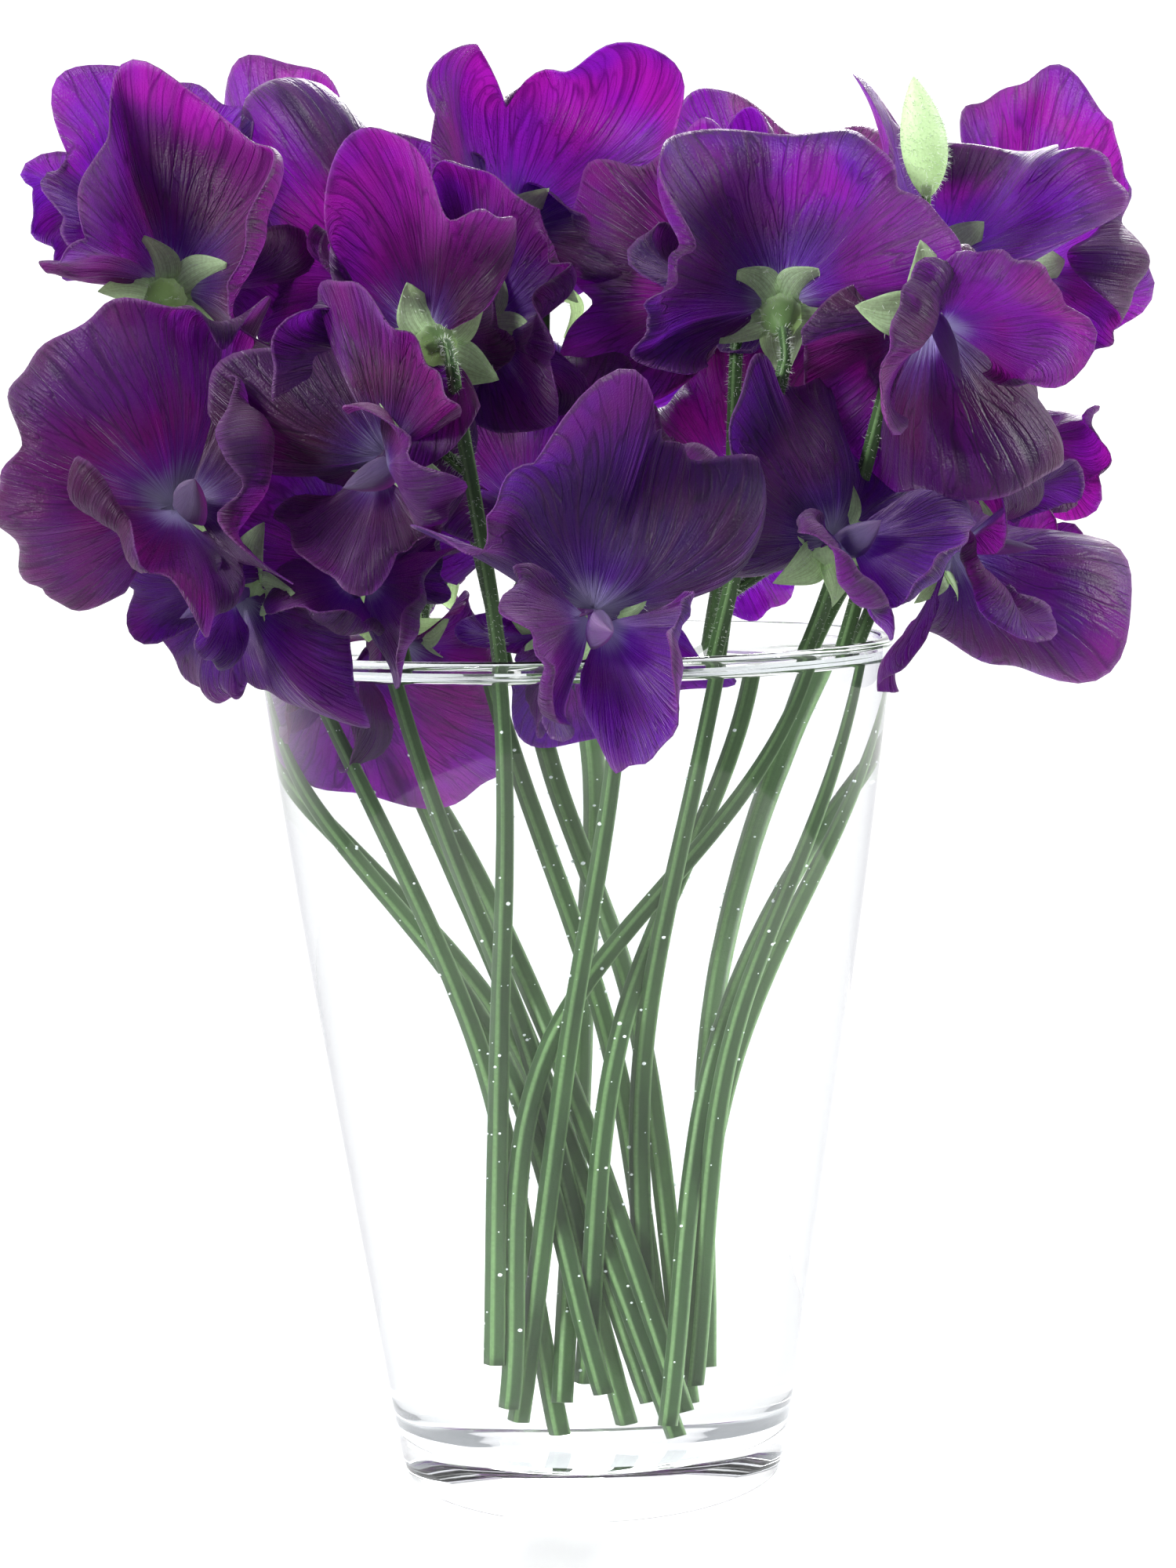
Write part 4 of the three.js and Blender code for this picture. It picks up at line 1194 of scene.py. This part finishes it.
def make_materials():
    """All of the materials by name."""
    veins, mottle = vein_group(), mottle_group()
    glass_tint, water_tint, wet_shadow = (0.99, 0.995, 1.0), (0.995, 1.0, 1.0), (0.98, 0.99, 0.99)
    return {
        "petal": petal_material(veins, mottle),
        "stem": green_material(
            "stem green", veins, mottle, dark=(0.018, 0.055, 0.012), pale=(0.045, 0.10, 0.03),
            rib_and_highlight=(0.13, 0.24, 0.09), through=(0.30, 0.55, 0.20), lobe_share=(0.2, 0.9), share=0.06
        ),
        "calyx": green_material(
            "calyx green", veins, mottle, dark=(0.14, 0.26, 0.09), pale=(0.62, 0.86, 0.48),
            rib_and_highlight=None, through=(0.62, 0.92, 0.32), lobe_share=(0.2, 0.45), share=0.5
        ),
        "bud": green_material(
            "bud green", veins, mottle, dark=(0.36, 0.56, 0.24), pale=(0.62, 0.80, 0.48),
            rib_and_highlight=None, through=(0.5, 0.8, 0.3), lobe_share=(0.3, 0.9), share=0.2
        ),
        "down": down_material(),
        "glass": clear_material(
            "clear glass", glass_tint, 1.5, (0.97, 0.98, 0.98), painted_edge_shade=(0.50, 0.50, 0.60), ripples=30.0
        ),
        "wet glass": clear_material(
            "wet glass", glass_tint, 1.125, wet_shadow, painted_edge_shade=(0.62, 0.62, 0.72)
        ),
        "water": clear_material("still water", water_tint, 1.333, wet_shadow),
        "water side": clear_material("water side", water_tint, 1.0, wet_shadow),
        "bubble": bubble_material(),
    }


# The studio

CAMERA_PLACE = (0.0018, -0.650, 0.211)
CAMERA_LENS = 74.9
CAMERA_SENSOR = 36
CAMERA_TILT = 6.15
CAMERA_ROLL = -1.26
LIGHT_TARGET = (0, 0, 0.22)
FLOOR_RADIUS = 0.5


def camera():
    """The photograph's view: a long lens a little above the bunch, tilted down and slightly rolled."""
    data = bpy.data.cameras.new("camera")
    data.lens = CAMERA_LENS
    data.sensor_width = data.sensor_height = CAMERA_SENSOR
    data.clip_start = 0.01
    obj = bpy.data.objects.new("camera", data)
    bpy.context.scene.collection.objects.link(obj)
    tilt = Matrix.Rotation(math.radians(90 - CAMERA_TILT), 4, "X")
    roll = Matrix.Rotation(math.radians(CAMERA_ROLL), 4, "Z")
    obj.matrix_world = Matrix.Translation(CAMERA_PLACE) @ tilt @ roll
    bpy.context.scene.camera = obj


def floor():
    """A plain pale floor, which the lights make white."""
    bpy.ops.mesh.primitive_circle_add(vertices=96, radius=FLOOR_RADIUS, fill_type="NGON")
    obj = bpy.context.active_object
    obj.name = "floor"
    material, tree, output = new_material("white floor")
    surface = node(
        tree, "ShaderNodeBsdfPrincipled", Base_Color=(0.34, 0.34, 0.34, 1), Roughness=0.6
    )
    tree.links.new(surface.outputs[0], output.inputs["Surface"])
    obj.data.materials.append(material)


def surroundings():
    """White light from all round, brighter behind the bunch than in front of it."""
    world = bpy.data.worlds.new("studio")
    bpy.context.scene.world = world
    world.use_nodes = True
    tree = world.node_tree
    tree.nodes.clear()
    output = tree.nodes.new("ShaderNodeOutputWorld")
    direction = node(tree, "ShaderNodeTexCoord")
    parts = node(tree, "ShaderNodeSeparateXYZ", Vector=direction.outputs["Generated"])
    ahead = graded(tree, math_node(tree, "ADD", parts.outputs[1], math_node(
        tree, "MULTIPLY", parts.outputs[2], 0.4)), -0.05, 0.8)
    colour = mix_colour(tree, ahead, (0.27, 0.275, 0.30), (1.2, 1.2, 1.21))
    light = node(tree, "ShaderNodeBackground", Color=colour, Strength=1.0)
    tree.links.new(light.outputs[0], output.inputs["Surface"])


def soft_light(name, place, size, power):
    """A square soft light that looks at the bunch."""
    data = bpy.data.lights.new(name, "AREA")
    data.shape = "SQUARE"
    data.size = size
    data.energy = power
    obj = bpy.data.objects.new(name, data)
    obj.location = place
    obj.rotation_mode = "QUATERNION"
    obj.rotation_quaternion = (Vector(LIGHT_TARGET) - Vector(place)).to_track_quat("-Z", "Y")
    bpy.context.scene.collection.objects.link(obj)


def studio():
    """The camera, the floor and the lights."""
    camera()
    floor()
    surroundings()
    soft_light("back light", (0.2, 1.1, 0.8), 0.5, 34)
    soft_light("left light", (-0.75, -0.75, 0.75), 0.3, 22)
    soft_light("right light", (1.0, -0.1, 0.6), 0.3, 15)
    view = bpy.context.scene.view_settings
    view.view_transform = "Standard"
    view.look = "None"


# The whole vaseful

MATERIALS = make_materials()
studio()
number = 1
stem_routes = []
for index, values in enumerate(STEMS):
    places = [placed(each) for each in values["flowers"]]
    stem_routes.append(stem_route(values, index, places))
    stem_piece(values, index, places, number)
    for each, place in zip(values["flowers"], places):
        blossom(each, number, place)
        number += 1
vase()
water()
bubbles(stem_routes)
